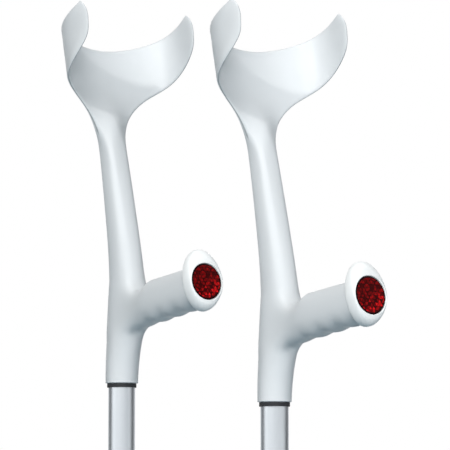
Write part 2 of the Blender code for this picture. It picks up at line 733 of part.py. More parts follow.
def build_socket_screw(prefix, upper, parts):
    """A pan-head screw through the back of the socket into the tube."""
    forward, half_depth, _ = socket_size(SCREW_ABOVE_RIM)
    seat = half_depth - forward + SEAT_GAP
    shank = SCREW_SHANK_DIAMETER / 2
    head = SCREW_HEAD_DIAMETER / 2
    top = seat + SCREW_HEAD_HEIGHT
    tip = UPPER_BORE_RADIUS - SCREW_REACH
    profile = [(0, top), (head * 0.55, top), (head * 0.9, top - SCREW_HEAD_EDGE), (head, seat)]
    profile += [(shank, seat), (shank, tip + SCREW_TIP), (shank * 0.5, tip), (0, tip)]
    screw = turned(f"{prefix}_socket_screw", profile, parts, upper, SMALL_STEPS)
    lay_along_rear(screw, SCREW_ABOVE_RIM)
    smooth(screw)
    finish(screw, "steel")


def build_guide_bush(prefix, upper, parts):
    """A bush pushed on the upper tube's end, with a lip in which the lower tube slides."""
    end = -UPPER_TUBE_BELOW_RIM
    grip = UPPER_TUBE_RADIUS + FIT_GAP
    slide = LOWER_TUBE_RADIUS + FIT_GAP
    outer = grip + BUSH_WALL
    top = end + BUSH_GRIP_LENGTH
    shelf = end - SEAT_GAP
    low = shelf - BUSH_LIP
    chamfer = BUSH_CHAMFER
    profile = [(grip, top), (outer - chamfer, top), (outer, top - chamfer), (outer, low + chamfer)]
    profile += [(outer - chamfer, low), (slide, low), (slide, shelf), (grip, shelf)]
    bush = turned(f"{prefix}_guide_bush", profile, parts, upper, closed=True)
    smooth(bush)
    finish(bush, "grey_plastic")


def build_lower_tube(prefix, lower, parts, cutters):
    bore = LOWER_BORE_RADIUS
    radius = LOWER_TUBE_RADIUS
    top = LOWER_TUBE_END + LOWER_TUBE_LENGTH
    profile = [(bore, top), (radius, top), (radius, LOWER_TUBE_END), (bore, LOWER_TUBE_END)]
    tube = turned(f"{prefix}_lower_tube", profile, parts, lower, closed=True)
    hole = BUTTON_DIAMETER / 2 + FIT_GAP
    name = f"{prefix}_button_hole"
    cutter = rod_cutter(name, hole, 0, 2 * radius, cutters, lower, HOLE_STEPS)
    lay_along_rear(cutter, BUTTON_HEIGHT)
    cut(tube, cutter)
    smooth(tube)
    finish(tube, "satin_aluminium")

    inside = bore - FIT_GAP
    shelf = top + SEAT_GAP
    head = shelf + PLUG_HEAD
    chamfer = PLUG_HEAD_CHAMFER
    profile = [(0, head), (radius - chamfer, head), (radius, head - chamfer), (radius, shelf)]
    chamfer = PLUG_TIP_CHAMFER
    profile += [(inside, shelf), (inside, top - PLUG_LENGTH + chamfer)]
    profile += [(inside - chamfer, top - PLUG_LENGTH), (0, top - PLUG_LENGTH)]
    plug = turned(f"{prefix}_lower_tube_plug", profile, parts, lower)
    smooth(plug)
    finish(plug, "black_plastic")


def button_inner_face():
    """Distance of the button's inner face from the tubes' axis."""
    half_flange = BUTTON_FLANGE_DIAMETER / 2
    bore_at_flange = math.sqrt(LOWER_BORE_RADIUS**2 - half_flange**2)
    return bore_at_flange - SEAT_GAP - BUTTON_FLANGE


def build_button(prefix, lower, parts):
    """The snap button: a flange inside the tube and a round-ended pin through both tubes."""
    inner = button_inner_face()
    shoulder = inner + BUTTON_FLANGE
    pin = BUTTON_DIAMETER / 2
    top = UPPER_TUBE_RADIUS + BUTTON_PROUD
    crown = BUTTON_CROWN
    flange = BUTTON_FLANGE_DIAMETER / 2
    profile = [(0, top), (pin * 0.5, top - crown * 0.15), (pin * 0.85, top - crown * 0.5)]
    profile += [(pin, top - crown), (pin, shoulder), (flange, shoulder), (flange, inner), (0, inner)]
    button = turned(f"{prefix}_snap_button", profile, parts, lower, SMALL_STEPS)
    lay_along_rear(button, BUTTON_HEIGHT)
    smooth(button)
    finish(button, "steel")


def build_button_spring(prefix, lower, parts):
    """A strip bent to a V: one leg behind the button, the other against the far wall."""
    half_width = SPRING_WIDTH / 2
    wall = math.sqrt(LOWER_BORE_RADIUS**2 - half_width**2) - SEAT_GAP - SPRING_STRIP
    near = button_inner_face() - SEAT_GAP - SPRING_STRIP
    bend = SPRING_BEND
    top = BUTTON_HEIGHT + BUTTON_FLANGE_DIAMETER / 2
    foot = BUTTON_HEIGHT - SPRING_DROP
    middle = -wall + bend
    line = [(near, top), (near, BUTTON_HEIGHT - BUTTON_FLANGE_DIAMETER / 2)]
    line += [(middle + bend, foot)]
    for turn in np.radians([30, 60, 90, 120, 150]):
        line.append((middle + bend * math.cos(turn), foot - bend * math.sin(turn)))
    line += [(-wall, foot), (-wall, top)]
    points, faces = [], []
    for y, z in line:
        points += [(-half_width, y, z), (half_width, y, z)]
    for i in range(len(line) - 1):
        faces.append((2 * i, 2 * i + 1, 2 * i + 3, 2 * i + 2))
    spring = mesh_object(f"{prefix}_button_spring", points, [], faces, parts, lower)
    shell = spring.modifiers.new("strip", "SOLIDIFY")
    shell.thickness = SPRING_STRIP
    shell.offset = 1
    shell.use_even_offset = True
    smooth(spring)
    finish(spring, "steel")


def build_ferrule(prefix, lower, parts):
    """The rubber foot, with a ringed tread, and the washer inside it."""
    bore = LOWER_TUBE_RADIUS + FIT_GAP
    neck = bore + FERRULE_NECK_WALL
    sole = FERRULE_SOLE_RADIUS
    profile = [(0, FERRULE_SOLE_THICKNESS), (bore, FERRULE_SOLE_THICKNESS), (bore, FERRULE_HEIGHT)]
    profile.append((neck - FERRULE_NECK_EDGE, FERRULE_HEIGHT))
    profile.append((neck, FERRULE_HEIGHT - FERRULE_NECK_EDGE))
    collar = FERRULE_HEIGHT - FERRULE_COLLAR_HEIGHT
    profile += [(neck, collar), (neck - FERRULE_COLLAR_PROUD, collar - FERRULE_COLLAR_STEP)]
    for share in (0, 0.25, 0.5, 0.75, 1):
        height = between(FERRULE_FLARE_TOP, FERRULE_FLARE_FOOT, share)
        profile.append((between(neck, sole, share**1.6), height))
    tread = sole - FERRULE_SOLE_EDGE
    profile += [(sole, FERRULE_SOLE_EDGE_HEIGHT), (tread, 0)]
    outer = tread - TREAD_RIB
    while outer - TREAD_RIB > TREAD_CENTRE_RADIUS + TREAD_RIB / 2:
        inner = outer - TREAD_RIB
        profile += [(outer, 0), (outer, TREAD_DEPTH), (inner, TREAD_DEPTH), (inner, 0)]
        outer = inner - TREAD_RIB
    profile += [(outer, 0), (outer, TREAD_DEPTH), (TREAD_CENTRE_RADIUS, TREAD_DEPTH)]
    profile += [(TREAD_CENTRE_RADIUS, 0), (0, 0)]
    ferrule = turned(f"{prefix}_ferrule", profile, parts, lower)
    smooth(ferrule)
    finish(ferrule, "grey_rubber")

    low = FERRULE_SOLE_THICKNESS + SEAT_GAP
    disc = LOWER_TUBE_RADIUS
    profile = [(0, WASHER_TOP), (disc, WASHER_TOP), (disc, low), (0, low)]
    washer = turned(f"{prefix}_ferrule_washer", profile, parts, lower)
    smooth(washer)
    finish(washer, "steel")


def build_crutch(prefix, place, notch, parts, cutters):
    ground = empty(f"{prefix}_crutch", parts, None, place)
    upper = empty(f"{prefix}_upper_part", parts, ground, (0, 0, rim_height(notch)))
    lower = empty(f"{prefix}_lower_part", parts, ground)
    build_moulding(prefix, upper, parts, cutters)
    build_grip_end(prefix, upper, parts)
    build_upper_tube(prefix, upper, parts, cutters)
    build_socket_screw(prefix, upper, parts)
    build_guide_bush(prefix, upper, parts)
    build_lower_tube(prefix, lower, parts, cutters)
    build_button(prefix, lower, parts)
    build_button_spring(prefix, lower, parts)
    build_ferrule(prefix, lower, parts)
    return ground


def centre_on_origin(grounds, parts):
    """Shifts the crutches so that the middle of the pair's box is over the origin."""
    bpy.context.view_layer.update()
    graph = bpy.context.evaluated_depsgraph_get()
    low = Vector((math.inf, math.inf, math.inf))
    high = -low
    for thing in parts.objects:
        if thing.type != "MESH":
            continue
        evaluated = thing.evaluated_get(graph)
        mesh = evaluated.to_mesh()
        for vertex in mesh.vertices:
            point = evaluated.matrix_world @ vertex.co
            low = Vector(map(min, low, point))
            high = Vector(map(max, high, point))
        evaluated.to_mesh_clear()
    shift = (low + high) / 2
    for ground in grounds:
        ground.location.x -= shift.x
        ground.location.y -= shift.y


def main():
    clear_scene()
    parts = new_collection("pair_of_crutches")
    cutters = new_collection("cutters")
    rear_place = (-SIDE_SPACING / 2, FORWARD_SPACING / 2, 0)
    front_place = (SIDE_SPACING / 2, -FORWARD_SPACING / 2, 0)
    rear = build_crutch("rear", rear_place, REAR_NOTCH, parts, cutters)
    front = build_crutch("front", front_place, FRONT_NOTCH, parts, cutters)
    centre_on_origin([rear, front], parts)


main()
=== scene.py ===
"""A pair of forearm crutches with red reflectors in their grip ends, standing side by side.

Metres, +Z up, handles towards -Y. A crutch's own place is (side, forward, up) from the
middle of its socket's rim, so a point of it is its centre plus (side, -forward, up).
"""

import math

import bmesh
import bpy
import numpy as np
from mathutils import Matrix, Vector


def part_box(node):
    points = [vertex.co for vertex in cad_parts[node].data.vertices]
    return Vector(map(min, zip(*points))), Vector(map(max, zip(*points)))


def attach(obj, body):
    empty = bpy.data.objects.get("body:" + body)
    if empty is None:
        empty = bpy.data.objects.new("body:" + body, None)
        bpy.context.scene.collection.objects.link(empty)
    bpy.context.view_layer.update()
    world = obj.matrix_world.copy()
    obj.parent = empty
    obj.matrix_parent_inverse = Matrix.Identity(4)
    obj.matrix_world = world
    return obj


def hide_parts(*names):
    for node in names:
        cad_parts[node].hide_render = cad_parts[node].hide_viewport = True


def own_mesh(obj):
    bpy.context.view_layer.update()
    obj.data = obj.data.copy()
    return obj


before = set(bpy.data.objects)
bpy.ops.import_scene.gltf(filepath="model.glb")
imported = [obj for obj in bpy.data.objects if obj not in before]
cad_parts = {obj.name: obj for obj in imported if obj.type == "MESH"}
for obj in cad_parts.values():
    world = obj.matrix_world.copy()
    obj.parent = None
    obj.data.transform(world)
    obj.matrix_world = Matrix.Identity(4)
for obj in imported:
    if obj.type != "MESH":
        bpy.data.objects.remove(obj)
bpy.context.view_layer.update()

# The two crutches are the same product, bought and stood up as a pair. Each stands on its
# own tube; the rear one is one hole taller. The centre is the middle of the socket's rim.
MM = 0.001
CRUTCHES = {
    "rear": np.array([-13.95, 125.87, 740]) * MM,
    "front": np.array([13.95, -41.13, 720]) * MM,
}

# The moulding: arm cuff, stem, hand grip and socket in one shot of pale grey-white plastic,
# injected in a two-part mould. It is pushed over the tube's end and held by one screw. The
# cuff is a thin leaned-back U, and the grip has shallow finger grooves under it.
SOCKET_BORE = 11.3 * MM
SOCKET_RADIUS = 13.4 * MM
SOCKET_DEPTH = 38 * MM
GRIP_RISE = math.radians(7.6)
GRIP_END = 106 * MM
GRIP_MIDDLE = 58.4 * MM
GRIP_ROOT_HALF_HEIGHT = 18.4 * MM
GRIP_END_HALF_HEIGHT = 17 * MM
GROOVES_LENGTH = 72 * MM
GROOVE_PITCH = 20 * MM
GROOVE_DEPTH = 1.1 * MM
STEM_HALF_DEPTH = 17.1 * MM
STEM_HALF_WIDTH = 13.4 * MM
STEM_FORWARD = 7.9 * MM
NECK_FORWARD = 4.8 * MM
CUFF_LEAN = math.radians(12)
CUFF_FOOT = np.array([-16.3, 205]) * MM
CUFF_SHEET = 3 * MM
CUFF_HALF_WIDTH = 55.3 * MM
CUFF_DEPTH = 38 * MM
CUFF_SQUARENESS = 2.3
HORN_LENGTH = 26 * MM
HORN_DRAW_IN = 1.9 * MM
RIB_DEPTH = 8.5 * MM
RIB_HALF_WIDTH = 16 * MM
RIB_FADE = 46 * MM
AROUND = 20
FIRST_GRIP_COLUMN, LAST_GRIP_COLUMN = 1, 9
GRIP_AROUND = 20


def blend(low, high, share):
    """On a straight line from low to high, by the share."""
    return low + (high - low) * share


def rounded(turns, squareness):
    """A unit superellipse: side and forward are the sine and cosine to the power 2 / squareness."""
    side = np.sign(np.sin(turns)) * np.abs(np.sin(turns)) ** (2 / squareness)
    ahead = np.sign(np.cos(turns)) * np.abs(np.cos(turns)) ** (2 / squareness)
    return side, np.where(np.abs(np.cos(turns)) < 1e-9, 0, ahead)


def turns_round(count):
    """Angles round a section: from its left side over the front to the right side and the back."""
    return -math.pi / 2 + 2 * math.pi * np.arange(count) / count


GRIP_FOOT = GRIP_MIDDLE + STEM_HALF_DEPTH * math.tan(GRIP_RISE) - GRIP_ROOT_HALF_HEIGHT
GRIP_HEAD = GRIP_FOOT + 2 * GRIP_ROOT_HALF_HEIGHT
# Millimetres: a height in the bore and how far it flares there
BORE_ROWS = ((38.3, 0), (30, 0), (14, 0), (5, 0), (1.6, 0), (0.5, 0.1), (0, 0.55), (0, 1.5))


def socket_and_stem():
    """Sections from the top of the socket's bore down to its lip, and up the outside and the stem.

    Each is a superellipse at its height. A row is its height, how far forward it lies, its
    half depth, its half width and its squareness. Along the stem these run from foot to
    head as powers of the height's share.
    """
    rows = []
    for height, flare in BORE_ROWS:
        rows.append((height * MM, 0, SOCKET_BORE + flare * MM, SOCKET_BORE + flare * MM, 2))
    heights = np.array([0.4, 1.3, 4, 10, 20, 34.5, GRIP_FOOT / MM]) * MM
    share = heights / GRIP_FOOT
    ahead = NECK_FORWARD * share**1.8
    depth = blend(SOCKET_RADIUS, 17.2 * MM, share**1.5)
    width = blend(SOCKET_RADIUS, 13.8 * MM, share)
    square = np.where(share > 0.99, 2.2, 2)
    rows += list(zip(heights, ahead, depth, width, square))
    middle = GRIP_FOOT + GRIP_ROOT_HALF_HEIGHT
    rows.append((middle, blend(NECK_FORWARD, STEM_FORWARD, 0.6), 17.7 * MM, 13.6 * MM, 2.3))
    rows.append((GRIP_HEAD, STEM_FORWARD, STEM_HALF_DEPTH, STEM_HALF_WIDTH, 2.4))
    share = np.array([0.052, 0.195, 0.394, 0.697, 0.928])
    heights = blend(GRIP_HEAD, CUFF_FOOT[1], share)
    ahead = blend(STEM_FORWARD, CUFF_FOOT[0], share**1.2)
    depth = blend(STEM_HALF_DEPTH, 9.9 * MM, share**0.75)
    width = blend(STEM_HALF_WIDTH, 10.2 * MM, share**0.5)
    rows += list(zip(heights, ahead, depth, width, blend(2.4, 3, share)))
    rings = []
    for height, ahead, depth, width, squareness in rows:
        side, front = rounded(turns_round(AROUND), squareness)
        level = np.full(AROUND, height)
        rings.append(np.column_stack([width * side, ahead + depth * front, level]))
    return np.array(rings)


def cuff_curve():
    """The cuff's U by its length: a superellipse quarter, then a horn that draws in slightly."""
    turn = np.linspace(0, math.pi / 2, 200)
    power = 2 / CUFF_SQUARENESS
    side = CUFF_HALF_WIDTH * np.sin(turn) ** power
    depth = CUFF_DEPTH * (1 - np.clip(np.cos(turn), 0, 1) ** power)
    side = np.append(side, CUFF_HALF_WIDTH - HORN_DRAW_IN)
    depth = np.append(depth, CUFF_DEPTH + HORN_LENGTH)
    length = np.concatenate([[0], np.cumsum(np.hypot(np.diff(side), np.diff(depth)))])
    return length, side, depth


def on_cuff(along, up_sheet, outward):
    """Points of the leaned U at a length along it, a height up the sheet and a distance outward.

    The outward direction is the curve's slope turned a quarter, and the lean turns depth
    and height about the side axis.
    """
    length, side, depth = cuff_curve()
    reach, step = np.abs(along), 2 * MM
    slopes = [np.interp(reach + step, length, curve) - np.interp(reach - step, length, curve)
              for curve in (side, depth)]
    slopes[0][reach < step] = 1
    slopes[1][reach < step] = 0
    size = np.hypot(*slopes)
    at_side = np.interp(reach, length, side) + outward * slopes[1] / size
    at_depth = np.interp(reach, length, depth) - outward * slopes[0] / size
    lean_sin, lean_cos = math.sin(CUFF_LEAN), math.cos(CUFF_LEAN)
    ahead = CUFF_FOOT[0] - up_sheet * lean_sin + at_depth * lean_cos
    rise = CUFF_FOOT[1] + up_sheet * lean_cos + at_depth * lean_sin
    return np.stack([np.sign(along) * at_side, ahead, rise], axis=-1)


# Millimetres: how far along the U the edge is, how far up the sheet, and the middle's height
CUFF_STATIONS = np.array([
    (14, 6, 7), (18.6, 17, 18), (26.5, 27, 27), (39.5, 36.5, 37), (59, 45, 47),
    (79, 55, 57), (94, 66, 65), (98, 76.5, 70.5), (97.8, 87.5, 74.5), (92.5, 96.5, 77),
]) * MM


def cuff():
    """Rings round the cuff's sheet, front points on its inner face and back points on its outer.

    Along the U a ring follows the sine of its angle, and its height runs from the middle's
    to the edge's by a power of that sine. A rib like a bell curve fades out up the back.
    """
    edge_along, edge_up, middle_up = CUFF_STATIONS.T[:, :, None]
    share = np.sin(turns_round(AROUND))[None, :]
    along = edge_along * share
    up_sheet = middle_up + (edge_up - middle_up) * np.abs(share) ** 1.6
    fade = np.clip(1 - up_sheet / RIB_FADE, 0, 1)
    rib = RIB_DEPTH * fade * fade * (3 - 2 * fade) * np.exp(-((along / RIB_HALF_WIDTH) ** 2))
    squareness = 3 + 6 * np.minimum(1, middle_up / RIB_FADE)
    across = np.cos(turns_round(AROUND))[None, :]
    ahead = np.sign(across) * np.abs(across) ** (2 / squareness)
    ahead = np.where(np.abs(across) < 1e-9, 0, ahead)
    return on_cuff(along, up_sheet, -(CUFF_SHEET / 2 + rib) * ahead)


def grip(stations, inset=0.0):
    """Rings square to the rising grip, which widens out of the stem by a quarter sine.

    Next to the stem a ring bends, its top forward and its sides back. Raised cosines dip
    the grip's top there and cut the finger grooves into its underside.
    """
    side, up = rounded(turns_round(GRIP_AROUND), 2.3)
    forward = np.asarray(stations)[:, None]
    root = np.clip((41 * MM - forward) / (12 * MM), 0, 1)
    forward = forward + root * MM * (3 * np.clip(up, 0, 1) - 4 * np.abs(side))
    half_height = blend(GRIP_ROOT_HALF_HEIGHT, GRIP_END_HALF_HEIGHT, forward / GRIP_END) - inset
    start = GRIP_END - GROOVES_LENGTH
    wave = 0.5 - 0.5 * np.cos(2 * math.pi * (forward - start) / GROOVE_PITCH)
    groove = np.where(forward > start, GROOVE_DEPTH * wave * np.clip(-up, 0, 1), 0)
    spread = np.sin(np.clip((forward - 20 * MM) / (45 * MM), 0, 1) * math.pi / 2)
    rising = np.clip((forward - 36 * MM) / (16 * MM), 0, 1)
    dip = 3 * MM * (1 + np.cos(math.pi * rising)) * np.clip(up, 0, 1)
    lift = half_height * up + groove - dip
    across = (blend(12.8 * MM, 15 * MM, spread) - inset) * side
    ahead = forward - lift * math.sin(GRIP_RISE)
    rise = GRIP_MIDDLE + forward * math.tan(GRIP_RISE) + lift * math.cos(GRIP_RISE)
    return np.stack([across, ahead, rise], axis=-1)


def closing(ring, first_new):
    """Faces that close a ring with a middle row of new points, and the pairs these lie between."""
    ring = np.asarray(ring)
    columns = len(ring) // 2 - 1
    near, far = ring[1 : columns + 1], ring[: columns + 1 : -1]
    middle = first_new + np.arange(columns)
    faces = np.concatenate([
        np.column_stack([near[:-1], near[1:], middle[1:], middle[:-1]]),
        np.column_stack([middle[:-1], middle[1:], far[1:], far[:-1]]),
        [[ring[0], near[0], middle[0], far[0]], [ring[columns + 1], far[-1], middle[-1], near[-1]]],
    ])
    return faces, np.column_stack([near, far])


def band(low, high):
    """Faces between two rings of point numbers."""
    return np.column_stack([low, np.roll(low, -1), np.roll(high, -1), high])


def through(points, faces):
    """Moves a cage so that its subdivided surface runs through the given points.

    A corner with n edges ends at the mean of n * n shares of itself, 4 of each edge's far
    end and 1 of each face's far corner, so the difference is added back a few times. On the
    flanks where the grip leaves the stem, by a bell curve of the distance, the corners
    settle towards those means instead, which leaves one soft blend.
    """
    pull = np.zeros((len(points), len(points)))
    for step, share in ((1, 2), (2, 1), (3, 2)):
        np.add.at(pull, (faces, np.roll(faces, -step, axis=1)), share)
    edges = pull.sum(axis=1) / 5
    pull[np.diag_indices(len(points))] += edges**2
    pull /= (edges * (edges + 5))[:, None]
    middle, reach = np.array([20, 62]) * MM, np.array([17, 27]) * MM
    junction = np.linalg.norm((points[:, 1:] - middle) / reach, axis=1)
    flank = 0.1 + 0.9 * np.clip(np.abs(points[:, 0]) / (8 * MM), 0, 1) ** 2
    loose = (np.exp(-(junction**4)) * flank)[:, None]
    moved = points.copy()
    for _ in range(8):
        moved += (points - pull @ moved) * (1 - loose)
    for _ in range(4):
        moved += (pull @ moved - moved) * loose
    return moved


def moulding_cage():
    """Points and faces: the ring stack with its opening, the grip from the opening, closed ends.

    The third array is 1 on the two long edges of the cuff's sheet and 0 elsewhere.
    """
    stem = socket_and_stem()
    outside = np.arange(len(stem)) >= len(BORE_ROWS)
    foot = int(np.argmin(np.where(outside, np.abs(stem[:, 0, 2] - GRIP_FOOT), np.inf)))
    rings = np.concatenate([stem, cuff()])
    number = np.arange(rings.shape[0] * AROUND).reshape(-1, AROUND)
    faces = np.stack([band(low, high) for low, high in zip(number, number[1:])])
    inside = np.zeros(faces.shape[:2], dtype=bool)
    inside[foot : foot + 2, FIRST_GRIP_COLUMN:LAST_GRIP_COLUMN] = True
    faces = [faces[~inside]]
    columns = np.arange(FIRST_GRIP_COLUMN, LAST_GRIP_COLUMN + 1)
    opening = np.concatenate([
        [number[foot + 1, columns[0]]], number[foot + 2, columns],
        [number[foot + 1, columns[-1]]], number[foot, columns[::-1]],
    ])
    stations = np.concatenate([[29, 35, 41], np.arange(44, 100, 5), [102.5, 104.6, 105.5]]) * MM
    arms = np.concatenate([
        grip(stations), grip([GRIP_END], 0.35 * MM), grip([GRIP_END], 2.5 * MM)])
    on_grip = number.size + np.arange(arms.shape[0] * GRIP_AROUND).reshape(-1, GRIP_AROUND)
    loops = np.vstack([opening, on_grip])
    faces += [band(low, high) for low, high in zip(loops, loops[1:])]
    points = np.concatenate([rings.reshape(-1, 3), arms.reshape(-1, 3)])
    for ring, lift in ((number[0], 0), (number[-1], CUFF_SHEET / 2), (on_grip[-1], 0)):
        more, pairs = closing(ring, len(points))
        top = np.array([0, -math.sin(CUFF_LEAN), math.cos(CUFF_LEAN)]) * lift
        points = np.concatenate([points, points[pairs].mean(axis=1) + top])
        faces.append(more)
    faces = np.concatenate(faces)
    used, faces = np.unique(faces, return_inverse=True)
    edge = np.zeros(len(points))
    edge[number[len(stem) : -1, :: AROUND // 2]] = 1
    return points[used], faces.reshape(-1, 4), edge[used]


def surface(name, points, faces):
    """A smooth mesh object from arrays, with doubles merged and its faces turned outwards."""
    mesh = bpy.data.meshes.new(name)
    mesh.from_pydata(points.tolist(), [], faces.tolist())
    tidy = bmesh.new()
    tidy.from_mesh(mesh)
    bmesh.ops.remove_doubles(tidy, verts=tidy.verts, dist=2e-6)
    bmesh.ops.recalc_face_normals(tidy, faces=tidy.faces)
    tidy.to_mesh(mesh)
    tidy.free()
    mesh.shade_smooth()
    piece = bpy.data.objects.new(name, mesh)
    bpy.context.scene.collection.objects.link(piece)
    return piece


def placed(local, centre):
    """From (side, forward, up) to the scene, where forward is -Y."""
    return local * np.array([1, -1, 1]) + centre


def paint(piece, material):
    """Gives a piece, or a node of the frame, one material."""
    piece.data.materials.clear()
    piece.data.materials.append(material)


def dress(piece, material, body, slot, *nodes):
    """Gives a finished piece its material, its body and the CAD nodes that it stands for."""
    paint(piece, material)
    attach(piece, body)
    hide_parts(*nodes)


class Wire:
    """A socket of a material. Arithmetic on wires adds Math nodes, and node() adds any other."""

    def __init__(self, tree, socket=None):
        self.tree = tree
        self.socket = socket

    def node(self, kind, inputs=None, out=0, **settings):
        made = self.tree.nodes.new("ShaderNode" + kind)
        for key, value in settings.items():
            setattr(made, key, value)
        for key, value in (inputs or {}).items():
            if isinstance(value, Wire):
                self.tree.links.new(value.socket, made.inputs[key])
            else:
                made.inputs[key].default_value = value
        return Wire(self.tree, made.outputs[out])

    def math(self, operation, *values):
        return self.node("Math", dict(enumerate(values)), operation=operation)

    def vector(self, operation, value, out=0):
        return self.node("VectorMath", {0: self, 1: value}, out, operation=operation)

    def part(self, axis):
        return self.node("SeparateXYZ", {0: self}, axis)

    def noise(self, scale, detail, roughness=0.5):
        values = {"Vector": self, "Scale": scale, "Detail": detail, "Roughness": roughness}
        return self.node("TexNoise", values)

    def within(self, low, high):
        """0 below low and 1 above high, with a smooth step between, or falling if low is higher."""
        values = {"Value": self, "From Min": low, "From Max": high}
        return self.node("MapRange", values, interpolation_type="SMOOTHSTEP")

    def mix(self, first, second):
        """The first colour where this wire is 0 and the second where it is 1."""
        return self.node("Mix", {0: self, 6: first, 7: second}, 2, data_type="RGBA")

    def bump(self, distance, strength):
        return self.node("Bump", {"Height": self, "Distance": distance, "Strength": strength})

    def __add__(self, other):
        return self.math("ADD", self, other)

    def __sub__(self, other):
        return self.math("SUBTRACT", self, other)

    def __rsub__(self, other):
        return self.math("SUBTRACT", other, self)

    def __mul__(self, other):
        return self.math("MULTIPLY", self, other)

    def __abs__(self):
        return self.math("ABSOLUTE", self)

    __radd__ = __add__
    __rmul__ = __mul__


def tint(red, green, blue):
    """A full, opaque colour."""
    return (red, green, blue, 1.0)


def new_material(name, centre=None, **constants):
    """A Principled material with its constant values, and a wire of the place from `centre`."""
    material = bpy.data.materials.new(name)
    material.use_nodes = True
    shader = material.node_tree.nodes["Principled BSDF"]
    for socket, value in constants.items():
        shader.inputs[socket.replace("_", " ")].default_value = value
    here = Wire(material.node_tree).node("TexCoord", out="Object")
    if centre is not None:
        here = here.vector("SUBTRACT", tuple(centre))
    return material, shader, here


def feed(shader, **wires):
    """Links wires to the shader's sockets, an underscore standing for a space."""
    for socket, wire in wires.items():
        wire.tree.links.new(wire.socket, shader.inputs[socket.replace("_", " ")])


def moulded_plastic(name, centre, colour, grip_feel_and_edge_shade):
    """Pale plastic with a spark-eroded skin, faint flow clouds, a parting line and rubbed patches,
    and on the moulding a pebbled grip and painted shade along the cuff's long edges.
    """
    material, shader, here = new_material(name, centre, IOR=1.46, Specular_IOR_Level=0.5)
    clouds = here.noise(22, 3)
    skin = here.noise(2600, 3, 0.6)
    parting = abs(here.part(0)).within(0.25 * MM, 0.05 * MM)
    rubs = here.node("Mapping", {"Vector": here, "Scale": (1, 1, 0.22)}).noise(420, 4, 0.6)
    rubs = rubs.within(0.62, 0.78)
    grimy = here.noise(60, 4).within(0.52, 0.75)
    shade = clouds * 0.05 + grimy * 0.03
    pale = shade.mix(tint(*colour), tint(*(value * 0.55 for value in colour)))
    feed(shader, Roughness=0.36 + clouds * 0.06 + rubs * 0.1 + skin * 0.05)
    height = skin * 0.02 + parting * 0.35 + rubs * 0.02
    if grip_feel_and_edge_shade:
        # Painted shade: the cuff sheet's two long edges are darkened towards a dark teal, as they
        # look in shade.
        edge = here.node("Attribute", out="Fac", attribute_name="cuff_edge").within(0.55, 0.95)
        pale = (edge * (0.4 + clouds * 0.3)).mix(pale, tint(0.10, 0.135, 0.145))
        forward = here.part(1) * -1.0
        on_grip = forward.within(26 * MM, 34 * MM) * here.part(2).within(125 * MM, 110 * MM)
        pebbles = here.node("TexVoronoi", {"Vector": here, "Scale": 900}, feature="SMOOTH_F1")
        height = height + on_grip * pebbles * 0.12
    feed(shader, Base_Color=pale, Normal=height.bump(0.25 * MM, 0.6))
    return material


MOULDING_COLOUR = (0.755, 0.775, 0.79)
cage_points, cage_faces, cuff_edge = moulding_cage()
cage_points = through(cage_points, cage_faces)
for side, centre in CRUTCHES.items():
    moulding = surface(f"{side}_moulding", placed(cage_points, centre), cage_faces)
    moulding.data.attributes.new("cuff_edge", "FLOAT", "POINT").data.foreach_set("value", cuff_edge)
    smoothing = moulding.modifiers.new("smoothing", "SUBSURF")
    smoothing.levels = smoothing.render_levels = 3
    evaluated = moulding.evaluated_get(bpy.context.evaluated_depsgraph_get())
    smooth = bpy.data.meshes.new_from_object(evaluated)
    moulding.modifiers.clear()
    moulding.data = smooth
    plastic = moulded_plastic(f"{side}_moulded_plastic", centre, MOULDING_COLOUR, True)
    dress(moulding, plastic, f"{side}_upper", "moulding_plastic", f"{side}_cuff_and_handle")

# The end cap: one white moulding with a round plug that is pressed into the grip's bore, an
# oval flange that stops the hand, and a domed face round the reflector's recess.
REFLECTOR_LIFT = 2.7 * MM
REFLECTOR_RADIUS = 14.6 * MM
GRIP_OUT = np.array([0, math.cos(GRIP_RISE), math.sin(GRIP_RISE)])
GRIP_UP = np.array([0, -math.sin(GRIP_RISE), math.cos(GRIP_RISE)])
GRIP_END_MIDDLE = np.array([0, GRIP_END, GRIP_MIDDLE + GRIP_END * math.tan(GRIP_RISE)])


def grid_faces(rows, columns, wrap=True):
    """Faces of a grid of points in rows, joined round if it wraps."""
    number = np.arange(rows * columns).reshape(rows, columns)
    right = np.roll(number, -1, axis=1)
    if not wrap:
        number, right = number[:, :-1], right[:, :-1]
    return np.stack([number[:-1], right[:-1], right[1:], number[1:]], axis=-1).reshape(-1, 4)


def filleted(corners, steps=4):
    """A profile of (radius, height, fillet) with each corner a parabola between its two sides."""
    corners = np.array(corners, dtype=float) * MM
    spots, fillets = corners[:, :2], corners[:, 2:]
    before = np.roll(spots, 1, axis=0) - spots
    after = np.roll(spots, -1, axis=0) - spots
    before /= np.maximum(np.linalg.norm(before, axis=1), 1e-9)[:, None]
    after /= np.maximum(np.linalg.norm(after, axis=1), 1e-9)[:, None]
    start, end = spots + before * fillets, spots + after * fillets
    share = np.linspace(0, 1, steps)[None, :, None]
    curve = (1 - share) ** 2 * start[:, None] + 2 * share * (1 - share) * spots[:, None]
    return (curve + share**2 * end[:, None]).reshape(-1, 2)


def on_grip_end(across, up, out):
    """Points on the grip's own end face: across it, up it and out from it."""
    return GRIP_END_MIDDLE + np.stack([across, 0 * across, 0 * across], axis=-1) + (
        up[..., None] * GRIP_UP + out[..., None] * GRIP_OUT)


